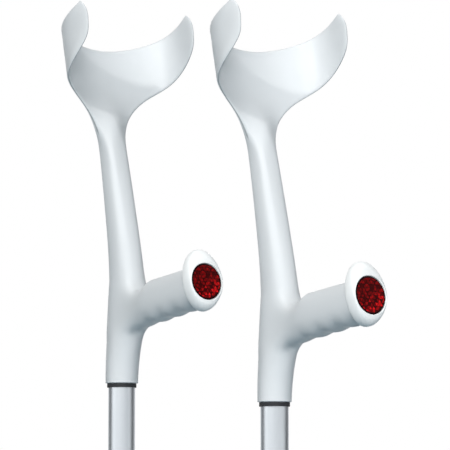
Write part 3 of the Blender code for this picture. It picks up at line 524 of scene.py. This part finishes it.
def end_cap():
    """Ovals along the grip's axis, in millimetres: half width, half height, lift and distance out.

    From the plug's end out to the flange, then to the recess's round by a quarter circle,
    and down into the recess, with small radii at each edge.
    """
    rows = [(0, 0, 0, -16), (8.4, 8.4, 0, -16), (9.6, 9.6, 0, -15.6), (10, 10, 0, -14.6)]
    rows += [(10, 10, 0, 0.3), (15.9, 23.9, 5, 0.3), (16.5, 24.5, 5, 0.4), (16.85, 24.85, 5, 0.8)]
    rows += [(17, 25, 5, 1.5), (17, 25, 5, 3)]
    turn = np.radians([6, 14, 24, 35, 46, 56, 65, 72])
    share, rise = 1 - np.cos(turn), np.sin(turn)
    rows += zip(blend(17, 15.7, share), blend(25, 15.7, share),
                blend(5, 2.7, share), blend(3.3, 10.9, rise))
    rows += [(15.75, 15.9, 2.7, 10.8), (15.6, 15.6, 2.7, 10.9), (15.2, 15.2, 2.7, 10.9)]
    rows += [(14.98, 14.98, 2.7, 10.75), (14.9, 14.9, 2.7, 10.3), (14.9, 14.9, 2.7, 6.1)]
    rows += [(0, 0, 2.7, 6.1)]
    width, height, lift, out = (np.array(rows, dtype=float).T * MM)[:, :, None]
    turn = 2 * math.pi * np.arange(96)[None, :] / 96
    across, up = width * np.cos(turn), lift + height * np.sin(turn)
    return on_grip_end(across, up, np.broadcast_to(out, across.shape))


def from_grid(name, grid, centre):
    """A surface from a grid of (side, forward, up) points that is joined round."""
    return surface(name, placed(grid.reshape(-1, 3), centre), grid_faces(*grid.shape[:2]))


for side, centre in CRUTCHES.items():
    cap = from_grid(f"{side}_end_cap", end_cap(), centre)
    plastic = moulded_plastic(f"{side}_cap_plastic", centre, (0.96, 0.97, 0.965), False)
    dress(cap, plastic, f"{side}_upper", "cap_plastic", f"{side}_grip_end_cap")

# The reflector: a clear red acrylic disc with a smooth face and rows of small prisms pressed
# in its back, glued over a dark disc in the cap's recess.


def turned_on_grip(profile, steps=96):
    """A profile of (radius, out) carried round the reflector's axis."""
    turn = 2 * math.pi * np.arange(steps)[None, :] / steps
    radius, out = profile.T[:, :, None]
    across, up = radius * np.cos(turn), REFLECTOR_LIFT + radius * np.sin(turn)
    return on_grip_end(across, up, np.broadcast_to(out, across.shape))


def prismatic_red(name, centre):
    """Red cells of a triangular lattice, each tilted its own way, under a smooth clear coat.

    Three sets of lines at 60 degrees cut the disc into small triangles. Each takes a
    random dark or bright red, with painted light making the cells brighter towards the
    lower right, and the lines between them are nearly black. Painted shade darkens the
    rim nearly to black.
    """
    middle = placed(GRIP_END_MIDDLE + REFLECTOR_LIFT * GRIP_UP, centre)
    material, shader, here = new_material(
        name, middle, Coat_Weight=0.04, Coat_Roughness=0.03, Coat_IOR=1.4, Specular_IOR_Level=0.03)
    across = here.part(0)
    up = here.vector("DOT_PRODUCT", tuple(GRIP_UP * [1, -1, 1]), "Value")
    pitch = 2.8 * MM
    lines = None
    cell = None
    for turn_number, angle in enumerate(np.radians([90, 30, 150])):
        along = (across * math.cos(angle) + up * math.sin(angle)) * (1 / pitch)
        ridge = abs(along.math("FRACT", along) - 0.5) * 2
        whole = along.math("FLOOR", along)
        lines = ridge if lines is None else lines.math("MAXIMUM", lines, ridge)
        cell = whole * 7.31 if cell is None else cell + whole * (7.31 + 4.17 * turn_number)
    chance = cell.node("TexWhiteNoise", {"W": cell}, noise_dimensions="1D")
    glow = chance.within(0.15, 0.95)
    # Painted light: the cells grow brighter towards the lower right of the disc, as it is lit
    # there.
    painted_light_sweep = (across * 0.6 - up).within(-2 * MM, 13 * MM)
    level = glow * (0.28 + painted_light_sweep * 0.72)
    red = level.mix(tint(0.05, 0.001, 0.001), tint(0.80, 0.010, 0.012))
    red = lines.within(0.8, 0.97).mix(red, tint(0.02, 0.001, 0.002))
    squared = across * across + up * up
    radius = squared.math("SQRT", squared)
    # Painted shade: the disc's rim is darkened nearly to black, as the recess's edge looks in
    # shade.
    rim = radius.within(REFLECTOR_RADIUS - 1.7 * MM, REFLECTOR_RADIUS - 1.0 * MM)
    red = rim.mix(red, tint(0.012, 0.001, 0.002))
    feed(shader, Base_Color=red, Roughness=0.16 + lines * 0.2)
    feed(shader, Normal=(chance + lines * 0.5).bump(0.25 * MM, 0.5))
    return material


def dark_disc(name):
    """Black card with a fine tooth."""
    material, shader, here = new_material(name)
    tooth = here.noise(3000, 3)
    feed(shader, Base_Color=tooth.mix(tint(0.03, 0.03, 0.032), tint(0.06, 0.06, 0.062)))
    feed(shader, Roughness=0.6 + tooth * 0.2, Normal=tooth.bump(0.05 * MM, 0.4))
    return material


lens_profile = filleted([
    (0, 10.6, 0), (10, 10.6, 0), (14.1, 10.55, 0.9),
    (14.55, 9.9, 0.4), (14.6, 8.0, 0.1), (0, 8.0, 0)])
for side, centre in CRUTCHES.items():
    lens = from_grid(f"{side}_lens", turned_on_grip(lens_profile), centre)
    red = prismatic_red(f"{side}_prismatic_red", centre)
    dress(lens, red, f"{side}_upper", "reflector_red", f"{side}_reflector_lens")
    paint(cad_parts[f"{side}_reflector_back"], dark_disc(f"{side}_dark_disc"))

# The seal ring: a thin band of dark rubber stretched on the tube, right under the socket. It
# keeps water out and hides the gap.


def turned(name, profile, middle, steps=64):
    """A profile of (radius, height) carried round the upright axis through `middle`."""
    turn = 2 * math.pi * np.arange(steps)[None, :] / steps
    radius, height = profile.T[:, :, None]
    points = np.stack([radius * np.cos(turn), radius * np.sin(turn), height + 0 * turn], axis=-1)
    return surface(name, points.reshape(-1, 3) + middle, grid_faces(len(profile), steps))


def closed_profile(corners):
    """A filleted ring section whose last point meets its first."""
    profile = filleted(corners)
    return np.vstack([profile, profile[:1]])


def black_rubber(name, centre, colour, dust):
    """Moulded rubber: matt, faintly pebbled, with pale dust that settles low down."""
    material, shader, here = new_material(name, centre, Specular_IOR_Level=0.35)
    pebbles = here.noise(1500, 4, 0.6)
    patches = here.noise(75, 4).within(0.42, 0.75)
    base = (pebbles * 0.4).mix(tint(*colour), tint(*(value * 1.7 for value in colour)))
    low = here.part(2).within(16 * MM, 0)
    dusty = (patches * (0.25 + low * 0.75)) * dust
    feed(shader, Base_Color=dusty.mix(base, tint(0.33, 0.315, 0.29)))
    feed(shader, Roughness=0.62 + pebbles * 0.15 + patches * 0.12)
    feed(shader, Normal=(pebbles * 0.5 + patches * 0.15).bump(0.12 * MM, 0.6))
    return material


for side, centre in CRUTCHES.items():
    ring = turned(f"{side}_ring", closed_profile([
        (11.3, -0.3, 0.15), (12.1, -0.3, 0.25), (12.1, -3.5, 0.25), (11.3, -3.5, 0.15)]), centre)
    dress(ring, black_rubber(f"{side}_ring_rubber", centre, (0.02, 0.021, 0.024), 0.1),
          f"{side}_upper", "seal_rubber", f"{side}_socket_seal_ring")

# The tubes: drawn aluminium, satin anodised. The 22 mm upper tube has a row of 13 punched
# holes down its back, and the 19 mm lower tube slides in it with one hole for the button.
UPPER_TUBE_RADIUS = 11 * MM
LOWER_TUBE_RADIUS = 9.5 * MM
TUBE_WALL = 1.2 * MM
UPPER_TUBE_BELOW_RIM = 400 * MM
LOWER_TUBE_FOOT = 11.6 * MM
LOWER_TUBE_TOP = 570 * MM
BUTTON_HEIGHT = 530 * MM
HOLE_COUNT = 13
FIRST_HOLE = 30 * MM
HOLE_PITCH = 20 * MM
HOLE_RADIUS = 4.3 * MM
CELL_ACROSS = 14 * MM
ROW_STEP = 2.5 * MM


def punched_tube(name, radius, low, high, holes, middle):
    """A sheet with round holes, rolled to a tube: x is r sin(u / r) and y is r cos(u / r).

    Round a hole, rings run from its circle out to the edge of a 14 by 20 mm cell, each
    point on a straight line from the circle to the edge. The rest is a plain grid with the
    same rows, so the two meet.
    """
    rows = np.arange(math.ceil((high - low) / ROW_STEP) + 1) * ROW_STEP + low
    rows[-1] = high
    half = CELL_ACROSS / 2
    wide = np.linspace(half, 2 * math.pi * radius - half, 45)
    u, v = np.meshgrid(wide, rows)
    sheets = [(u, v, grid_faces(*u.shape, wrap=False))]
    narrow = np.linspace(-half, half, 11)
    starts = [height - HOLE_PITCH / 2 for height in holes]
    plain = [row for row in range(len(rows) - 1)
             if not any(start - 1e-6 < rows[row] < start + HOLE_PITCH - 1e-6 for start in starts)]
    u, v = np.meshgrid(narrow, rows)
    faces = grid_faces(*u.shape, wrap=False).reshape(len(rows) - 1, -1, 4)
    sheets.append((u, v, faces[plain].reshape(-1, 4)))
    upright = np.linspace(-HOLE_PITCH / 2, HOLE_PITCH / 2, 9)
    level, plumb = np.ones(len(narrow) - 1), np.ones(len(upright) - 1)
    edge = np.concatenate([
        np.column_stack([narrow[:-1], upright[0] * level]),
        np.column_stack([half * plumb, upright[:-1]]),
        np.column_stack([narrow[:0:-1], upright[-1] * level]),
        np.column_stack([-half * plumb, upright[:0:-1]]),
    ])
    circle = HOLE_RADIUS * edge / np.linalg.norm(edge, axis=1)[:, None]
    share = np.array([0, 0.06, 0.25, 0.6, 1])[:, None, None]
    patch = circle + (edge - circle) * share
    for height in holes:
        sheets.append((patch[..., 0], patch[..., 1] + height, grid_faces(*patch.shape[:2])))
    points, faces, count = [], [], 0
    for u, v, sheet_faces in sheets:
        turn = u.ravel() / radius
        points.append(np.column_stack([radius * np.sin(turn), radius * np.cos(turn), v.ravel()]))
        faces.append(sheet_faces + count)
        count += u.size
    tube = surface(name, np.concatenate(points) + middle, np.concatenate(faces))
    thick = tube.modifiers.new("wall", "SOLIDIFY")
    thick.thickness = TUBE_WALL
    thick.offset = -1
    soft = tube.modifiers.new("edges", "BEVEL")
    soft.width = 0.15 * MM
    soft.segments = 2
    soft.limit_method = "ANGLE"
    soft.angle_limit = math.radians(50)
    soft.harden_normals = True
    return tube


def anodised(name, centre, bright):
    """Satin anodised metal: draw lines along the tube, soft clouds and light rubbing."""
    material, shader, here = new_material(name, centre, Metallic=1.0)
    drawn = here.node("Mapping", {"Vector": here, "Scale": (1, 1, 0.012)}).noise(1900, 4, 0.65)
    clouds = here.noise(45, 3)
    fine = here.noise(2400, 2)
    shade = drawn * 0.25 + clouds * 0.12
    grey = shade.mix(tint(*bright), tint(*(value * 0.72 for value in bright)))
    feed(shader, Base_Color=grey, Roughness=0.33 + drawn * 0.12 + clouds * 0.06)
    feed(shader, Normal=(drawn * 0.6 + fine * 0.25).bump(0.03 * MM, 0.5))
    return material


for side, centre in CRUTCHES.items():
    ground = centre * [1, 1, 0]
    bottom = centre[2] - UPPER_TUBE_BELOW_RIM
    holes = bottom + FIRST_HOLE + HOLE_PITCH * np.arange(HOLE_COUNT)
    tube = punched_tube(f"{side}_outer_tube", UPPER_TUBE_RADIUS, bottom,
                        centre[2] + SOCKET_DEPTH, holes, ground)
    metal = anodised(f"{side}_anodised", ground, (0.665, 0.71, 0.75))
    dress(tube, metal, f"{side}_upper", "tube_aluminium", f"{side}_upper_tube")
    tube = punched_tube(f"{side}_inner_tube", LOWER_TUBE_RADIUS, LOWER_TUBE_FOOT,
                        LOWER_TUBE_TOP, [BUTTON_HEIGHT], ground)
    metal = anodised(f"{side}_inner_anodised", ground, (0.68, 0.715, 0.745))
    dress(tube, metal, f"{side}_lower", "tube_aluminium", f"{side}_lower_tube")

# The socket screw: a pan-head steel screw with a cross recess, driven from behind through
# the socket's wall into the tube.
SCREW_HEIGHT = 20 * MM
RECESS_DEPTH = 0.9 * MM
RECESS_HALF_WIDTH = 0.55 * MM
RECESS_LENGTH = 1.9 * MM


def bright_steel(name, centre, roughness):
    """Plated steel with fine scratches in all directions."""
    material, shader, here = new_material(name, centre, Metallic=1.0)
    scratches = here.node("Mapping", {"Vector": here, "Scale": (1, 0.2, 1)}).noise(3500, 4, 0.7)
    dull = here.noise(300, 3)
    feed(shader, Base_Color=dull.mix(tint(0.66, 0.66, 0.665), tint(0.5, 0.5, 0.51)))
    feed(shader, Roughness=roughness + scratches * 0.16)
    feed(shader, Normal=scratches.bump(0.02 * MM, 0.5))
    return material


def rearward(profile, middle, name, steps, recess=0.0):
    """A profile of (radius, distance behind the axis), turned about a level axis to the rear.

    A recess shaped as a cross sinks the end face: each arm is as deep as `recess` where the
    point is within the arm's half width and its length, with soft sides.
    """
    turn = 2 * math.pi * np.arange(steps)[None, :] / steps
    radius, behind = profile.T[:, :, None]
    x, z = radius * np.cos(turn), radius * np.sin(turn)
    arm = np.minimum(np.abs(x), np.abs(z))
    reach = np.maximum(np.abs(x), np.abs(z))
    depth = np.clip((RECESS_HALF_WIDTH - arm) / (0.25 * MM), 0, 1)
    depth *= np.clip((RECESS_LENGTH - reach) / (0.3 * MM), 0, 1)
    on_face = behind > profile[:, 1].max() - 0.6 * MM
    y = behind - recess * depth * on_face
    points = np.stack([x, y, z], axis=-1)
    return surface(name, points.reshape(-1, 3) + middle, grid_faces(len(profile), steps))


for side, centre in CRUTCHES.items():
    middle = centre + [0, 0, SCREW_HEIGHT]
    face = (np.linspace(0, 2.2, 23)[:, None] * [1, 0] + [0, 15.5]) * MM
    rim = filleted([(2.7, 15.45, 0.4), (3.25, 14.6, 0.5), (3.25, 13.7, 0.15), (1.75, 13.7, 0.1),
                    (1.75, 7.6, 0.3), (0.9, 6.8, 0.1), (0, 6.8, 0)])
    screw = rearward(np.vstack([face, rim]), middle, f"{side}_pan_screw", 72, RECESS_DEPTH)
    steel = bright_steel(f"{side}_screw_steel", middle, 0.22)
    dress(screw, steel, f"{side}_upper", "steel", f"{side}_socket_screw")

# The guide bush: a grey nylon collar pushed over the upper tube's end, in whose lip the
# lower tube slides without rattling.


def grey_nylon(name, centre):
    """Semi-matt grey nylon with faint sink marks and fine moulding texture."""
    material, shader, here = new_material(name, centre, IOR=1.5)
    skin, clouds = here.noise(2200, 3), here.noise(90, 3)
    grey = (clouds * 0.5 + skin * 0.15).mix(tint(0.36, 0.38, 0.40), tint(0.25, 0.265, 0.28))
    feed(shader, Base_Color=grey, Roughness=0.4 + clouds * 0.14, Normal=skin.bump(0.06 * MM, 0.5))
    return material


for side, centre in CRUTCHES.items():
    end = centre - [0, 0, UPPER_TUBE_BELOW_RIM]
    section = [(11.3, 20, 0.2), (12.2, 20, 0.4), (12.8, 18.6, 0.4), (12.8, 2.2, 0.25)]
    section += [(12.35, 1.8, 0.2), (12.35, 0.6, 0.2), (12.8, 0.2, 0.25), (12.8, -4.4, 0.5)]
    section += [(12, -5.3, 0.3), (9.8, -5.3, 0.3), (9.8, -0.3, 0.1), (11.3, -0.3, 0.1)]
    bush = turned(f"{side}_bush", closed_profile(section), end)
    nylon = grey_nylon(f"{side}_grey_nylon", end)
    dress(bush, nylon, f"{side}_upper", "bush_plastic", f"{side}_guide_bush")

# The height lock: a steel button on a V spring inside the lower tube. It snaps out through
# whichever hole of the upper tube is in front of it. A black plug closes the tube's top.
BUTTON_FLANGE = 1.2
SPRING_STRIP = 0.6


def black_nylon(name, centre):
    """Black nylon with a fine skin."""
    material, shader, here = new_material(name, centre)
    skin = here.noise(2000, 3)
    feed(shader, Base_Color=skin.mix(tint(0.02, 0.02, 0.021), tint(0.045, 0.045, 0.047)))
    feed(shader, Roughness=0.42 + skin * 0.18, Normal=skin.bump(0.06 * MM, 0.5))
    return material


def bent_strip(name, outer, inner, half_width, middle):
    """A spring strip: rows between matching points of its outer and inner line, with closed ends.

    Each row is a rectangle with its four edges taken off.
    """
    across = half_width * np.array([-0.94, 0.94, 1, 1, 0.94, -0.94, -1, -1])
    depth = np.array([0, 0, 0.15, 0.85, 1, 1, 0.85, 0.15])[:, None]
    line = outer[:, None] + (inner - outer)[:, None] * depth
    points = np.concatenate([np.broadcast_to(across[:, None], (*line.shape[:2], 1)), line], axis=-1)
    end = np.array([[0, 1, 2, 7], [7, 2, 3, 6], [6, 3, 4, 5]])
    faces = np.concatenate([grid_faces(len(outer), 8), end, end + 8 * (len(outer) - 1)])
    return surface(name, points.reshape(-1, 3) + middle, faces)


for side, centre in CRUTCHES.items():
    ground = centre * [1, 1, 0]
    middle = ground + [0, 0, BUTTON_HEIGHT]
    steel = bright_steel(f"{side}_button_steel", middle, 0.18)
    inside = (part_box(f"{side}_snap_button")[0][1] - ground[1]) / MM
    shoulder = inside + BUTTON_FLANGE
    dome = [(0, 13.2, 0), (2, 13.0, 0.8), (3.4, 12.5, 0.6), (4, 11.6, 0.5)]
    dome += [(4, shoulder, 0.1), (5, shoulder, 0.25), (5, inside, 0.25), (0, inside, 0)]
    button = rearward(filleted(dome, 5), middle, f"{side}_button", 64)
    dress(button, steel, f"{side}_button", "steel", f"{side}_snap_button")
    strip_box = (np.array(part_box(f"{side}_button_spring")) - ground) / MM
    (_, far, bottom), (half_width, near, top) = strip_box
    outer = [(near, top, 0), (near, top - 10, 3), (far + 5.6, bottom, 2.8),
             (far, bottom, 2.75), (far, top, 0)]
    near_side, far_side, fold = near - SPRING_STRIP, far + SPRING_STRIP, bottom + SPRING_STRIP
    inner = [(near_side, top, 0), (near_side, top - 10, 3), (far + 4.94, fold, 2.15),
             (far_side, fold, 2.15), (far_side, top, 0)]
    lines = filleted(outer, 7), filleted(inner, 7)
    spring = bent_strip(f"{side}_spring", *lines, half_width * MM, ground)
    dress(spring, steel, f"{side}_lower", "steel", f"{side}_button_spring")
    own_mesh(spring)
    paint(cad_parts[f"{side}_lower_tube_plug"], black_nylon(f"{side}_black_nylon", ground))

# The ferrule: a soft grey-black rubber foot pulled over the lower tube, flared to a wide sole
# with ringed tread, and a steel washer inside it that stops the tube cutting through.


TREAD_RING = 1.6
TREAD_DEPTH = 1.5
SOLE_FLAT = 18.3


def ferrule_profile():
    """Down the outside, in millimetres: a beaded neck, three shallow grip rings, a flare that
    widens as the share of its height to the power 1.6, a rounded sole edge and the tread's rings.
    """
    rows = [(0, 9.4, 0), (9.8, 9.4, 0.2), (9.8, 52, 0.4), (12.2, 52, 0.9), (13.2, 50.6, 0.8)]
    rows += [(13.2, 45.4, 0.6), (12.45, 44, 0.5), (12.4, 41.5, 0.3)]
    for height in (39, 36, 33):
        rows += [(12.4, height + 0.9, 0.2), (12.9, height + 0.5, 0.2)]
        rows += [(12.9, height - 0.5, 0.2), (12.4, height - 0.9, 0.2)]
    share = np.linspace(0, 1, 9)
    rows += zip(13.0 + 6.4 * share**1.6, 30 - 23 * share, np.full(len(share), 0.6))
    rows += [(19.5, 2.2, 0.6), (SOLE_FLAT, 0, 0.6)]
    outer = SOLE_FLAT - TREAD_RING
    while outer - TREAD_RING > 10.8:
        inner = outer - TREAD_RING
        rows += [(outer, 0, 0.25), (outer, TREAD_DEPTH, 0.2)]
        rows += [(inner, TREAD_DEPTH, 0.2), (inner, 0, 0.25)]
        outer -= 2 * TREAD_RING
    rows += [(outer, 0, 0.25), (outer, TREAD_DEPTH, 0.2)]
    rows += [(10, TREAD_DEPTH, 0.2), (10, 0, 0.25), (0, 0, 0)]
    return filleted(rows)


for side, centre in CRUTCHES.items():
    ground = centre * [1, 1, 0]
    ferrule = turned(f"{side}_rubber_foot", ferrule_profile(), ground, 96)
    rubber = black_rubber(f"{side}_foot_rubber", ground, (0.085, 0.085, 0.09), 0.45)
    dress(ferrule, rubber, f"{side}_lower", "ferrule_rubber", f"{side}_ferrule")
    steel = bright_steel(f"{side}_washer_steel", ground, 0.3)
    paint(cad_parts[f"{side}_ferrule_washer"], steel)

# The studio: a pale floor, a white surround, five large lamps and a small one. The floor and
# the surround look white to the camera and in reflections, and give little light of their
# own, so the undersides stay deep as they are over a dark studio floor.


def seen_directly(start):
    """1 for camera, mirror and glass rays, 0 for the rays that light a matt surface."""
    paths = [start.node("LightPath", out=name) for name in
             ("Is Camera Ray", "Is Glossy Ray", "Is Transmission Ray")]
    return (paths[0] + paths[1] + paths[2]).within(0, 1)


turn = np.linspace(0, 2 * math.pi, 97)[:-1]
rings = np.array([[0], [1], [3], [8]])
floor_points = np.stack([rings * np.cos(turn), rings * np.sin(turn), 0 * rings * turn], axis=-1)
floor = surface("floor", floor_points.reshape(-1, 3), grid_faces(*floor_points.shape[:2]))
floor_paint = bpy.data.materials.new("floor_paint")
floor_paint.use_nodes = True
tree = floor_paint.node_tree
start = Wire(tree)
lit = start.node("BsdfDiffuse", {"Color": tint(0.86, 0.86, 0.86)})
white = start.node("Emission", {"Color": tint(1, 1, 1), "Strength": 1.0})
away = start.node("TexCoord", out="Object").vector("LENGTH", (0, 0, 0), "Value")
shown = start.node("MixShader", {0: away.within(0.4, 3.2) * 0.55 + 0.45, 1: lit, 2: white})
felt = start.node("BsdfDiffuse", {"Color": tint(0.03, 0.12, 0.17)})
mixed = start.node("MixShader", {0: seen_directly(start), 1: felt, 2: shown})
tree.links.new(mixed.socket, tree.nodes["Material Output"].inputs["Surface"])
floor.data.materials.append(floor_paint)

world = bpy.data.worlds.new("surround")
world.use_nodes = True
bpy.context.scene.world = world
tree = world.node_tree
start = Wire(tree)
tree.nodes.remove(tree.nodes["Background"])
shown = start.node("Background", {"Color": tint(1, 1, 1), "Strength": 1.0})
felt = start.node("Background", {"Color": tint(0.72, 0.94, 1.0), "Strength": 0.12})
mixed = start.node("MixShader", {0: seen_directly(start), 1: felt, 2: shown})
tree.links.new(mixed.socket, tree.nodes["World Output"].inputs["Surface"])

SIGHT = np.array([-0.6088, -0.7934, 0])
RIGHT = np.array([0.7934, -0.6088, 0])
HANDLES = np.array([0, 0.04, 0.88])


def lamp(name, right, up, near, size, watts, colour=(1, 1, 1), mirrored=True):
    """A square soft lamp placed from the handles by the camera's right, up and near directions.

    One that isn't mirrored lights matt surfaces alone, and metal shows the surround there.
    """
    light = bpy.data.lights.new(name, "AREA")
    light.shape = "RECTANGLE"
    light.size, light.size_y = size
    light.energy = watts
    light.color = colour
    holder = bpy.data.objects.new(name, light)
    away = right * RIGHT + near * SIGHT + [0, 0, up]
    holder.location = HANDLES + away
    out = away / np.linalg.norm(away)
    holder.rotation_euler = (math.acos(out[2]), 0, math.atan2(out[1], out[0]) + math.pi / 2)
    holder.visible_glossy = mirrored
    bpy.context.scene.collection.objects.link(holder)


lamp("front", 0, 0.15, 2.3, (1.2, 1.2), 25.5, mirrored=False)
lamp("left", -2.1, 0.1, 0.6, (1.2, 1.2), 3)
lamp("left key", -1.21, 1.24, 1.52, (0.1, 0.1), 15, (1.0, 0.985, 0.97))
lamp("high key", -0.3, 1.54, 1.7, (0.7, 0.7), 12)
lamp("right", 1.3, 0.3, 1.8, (1.2, 1.2), 14, (0.97, 0.98, 1.0), mirrored=False)
lamp("behind", 0, 0.4, -2.3, (1.2, 1.2), 38, mirrored=False)

# Two tall grey cards stand beside the crutches, a little behind them. Only gloss shows them,
# and they draw the thin dark lines along a tube's two edges.
CARD_TURN = math.radians(112)
CARD_DISTANCE = 1.5
CARD_CORNERS = np.array([[-0.6, -0.86], [0.6, -0.86], [0.6, 1.14], [-0.6, 1.14]])
card_paint = bpy.data.materials.new("card_paint")
card_paint.use_nodes = True
tree = card_paint.node_tree
grey = Wire(tree).node("BsdfDiffuse", {"Color": tint(0.12, 0.12, 0.12)})
tree.links.new(grey.socket, tree.nodes["Material Output"].inputs["Surface"])
for name, angle in (("left_card", -CARD_TURN), ("right_card", CARD_TURN)):
    facing = math.cos(angle) * SIGHT + math.sin(angle) * RIGHT
    beside = -math.sin(angle) * SIGHT + math.cos(angle) * RIGHT
    card_points = HANDLES + CARD_DISTANCE * facing
    card_points = card_points + CARD_CORNERS[:, :1] * beside + CARD_CORNERS[:, 1:] * [0, 0, 1]
    card = surface(name, card_points, np.array([[0, 1, 2, 3]]))
    card.data.materials.append(card_paint)
    card.visible_camera = card.visible_diffuse = card.visible_shadow = False

# The camera: 2.1 m from the front crutch, a little lower than the grips and looking slightly
# up at them, with a long lens.
CAMERA_DISTANCE = 2.10
CAMERA_HEIGHT = 0.6373
CAMERA_LEFT = 0.0387
CAMERA_TILT = math.radians(6.03)
camera = bpy.data.cameras.new("camera")
camera.lens = 214.8
camera.sensor_width = 36
holder = bpy.data.objects.new("camera", camera)
holder.location = (CRUTCHES["front"] * [1, 1, 0] - CAMERA_LEFT * RIGHT
                   + CAMERA_DISTANCE * SIGHT + [0, 0, CAMERA_HEIGHT])
heading = math.atan2(SIGHT[1], SIGHT[0])
holder.rotation_euler = (math.pi / 2 + CAMERA_TILT, 0, heading + math.pi / 2)
bpy.context.scene.collection.objects.link(holder)
bpy.context.scene.camera = holder
bpy.context.scene.view_settings.view_transform = "Standard"

bpy.context.view_layer.update()
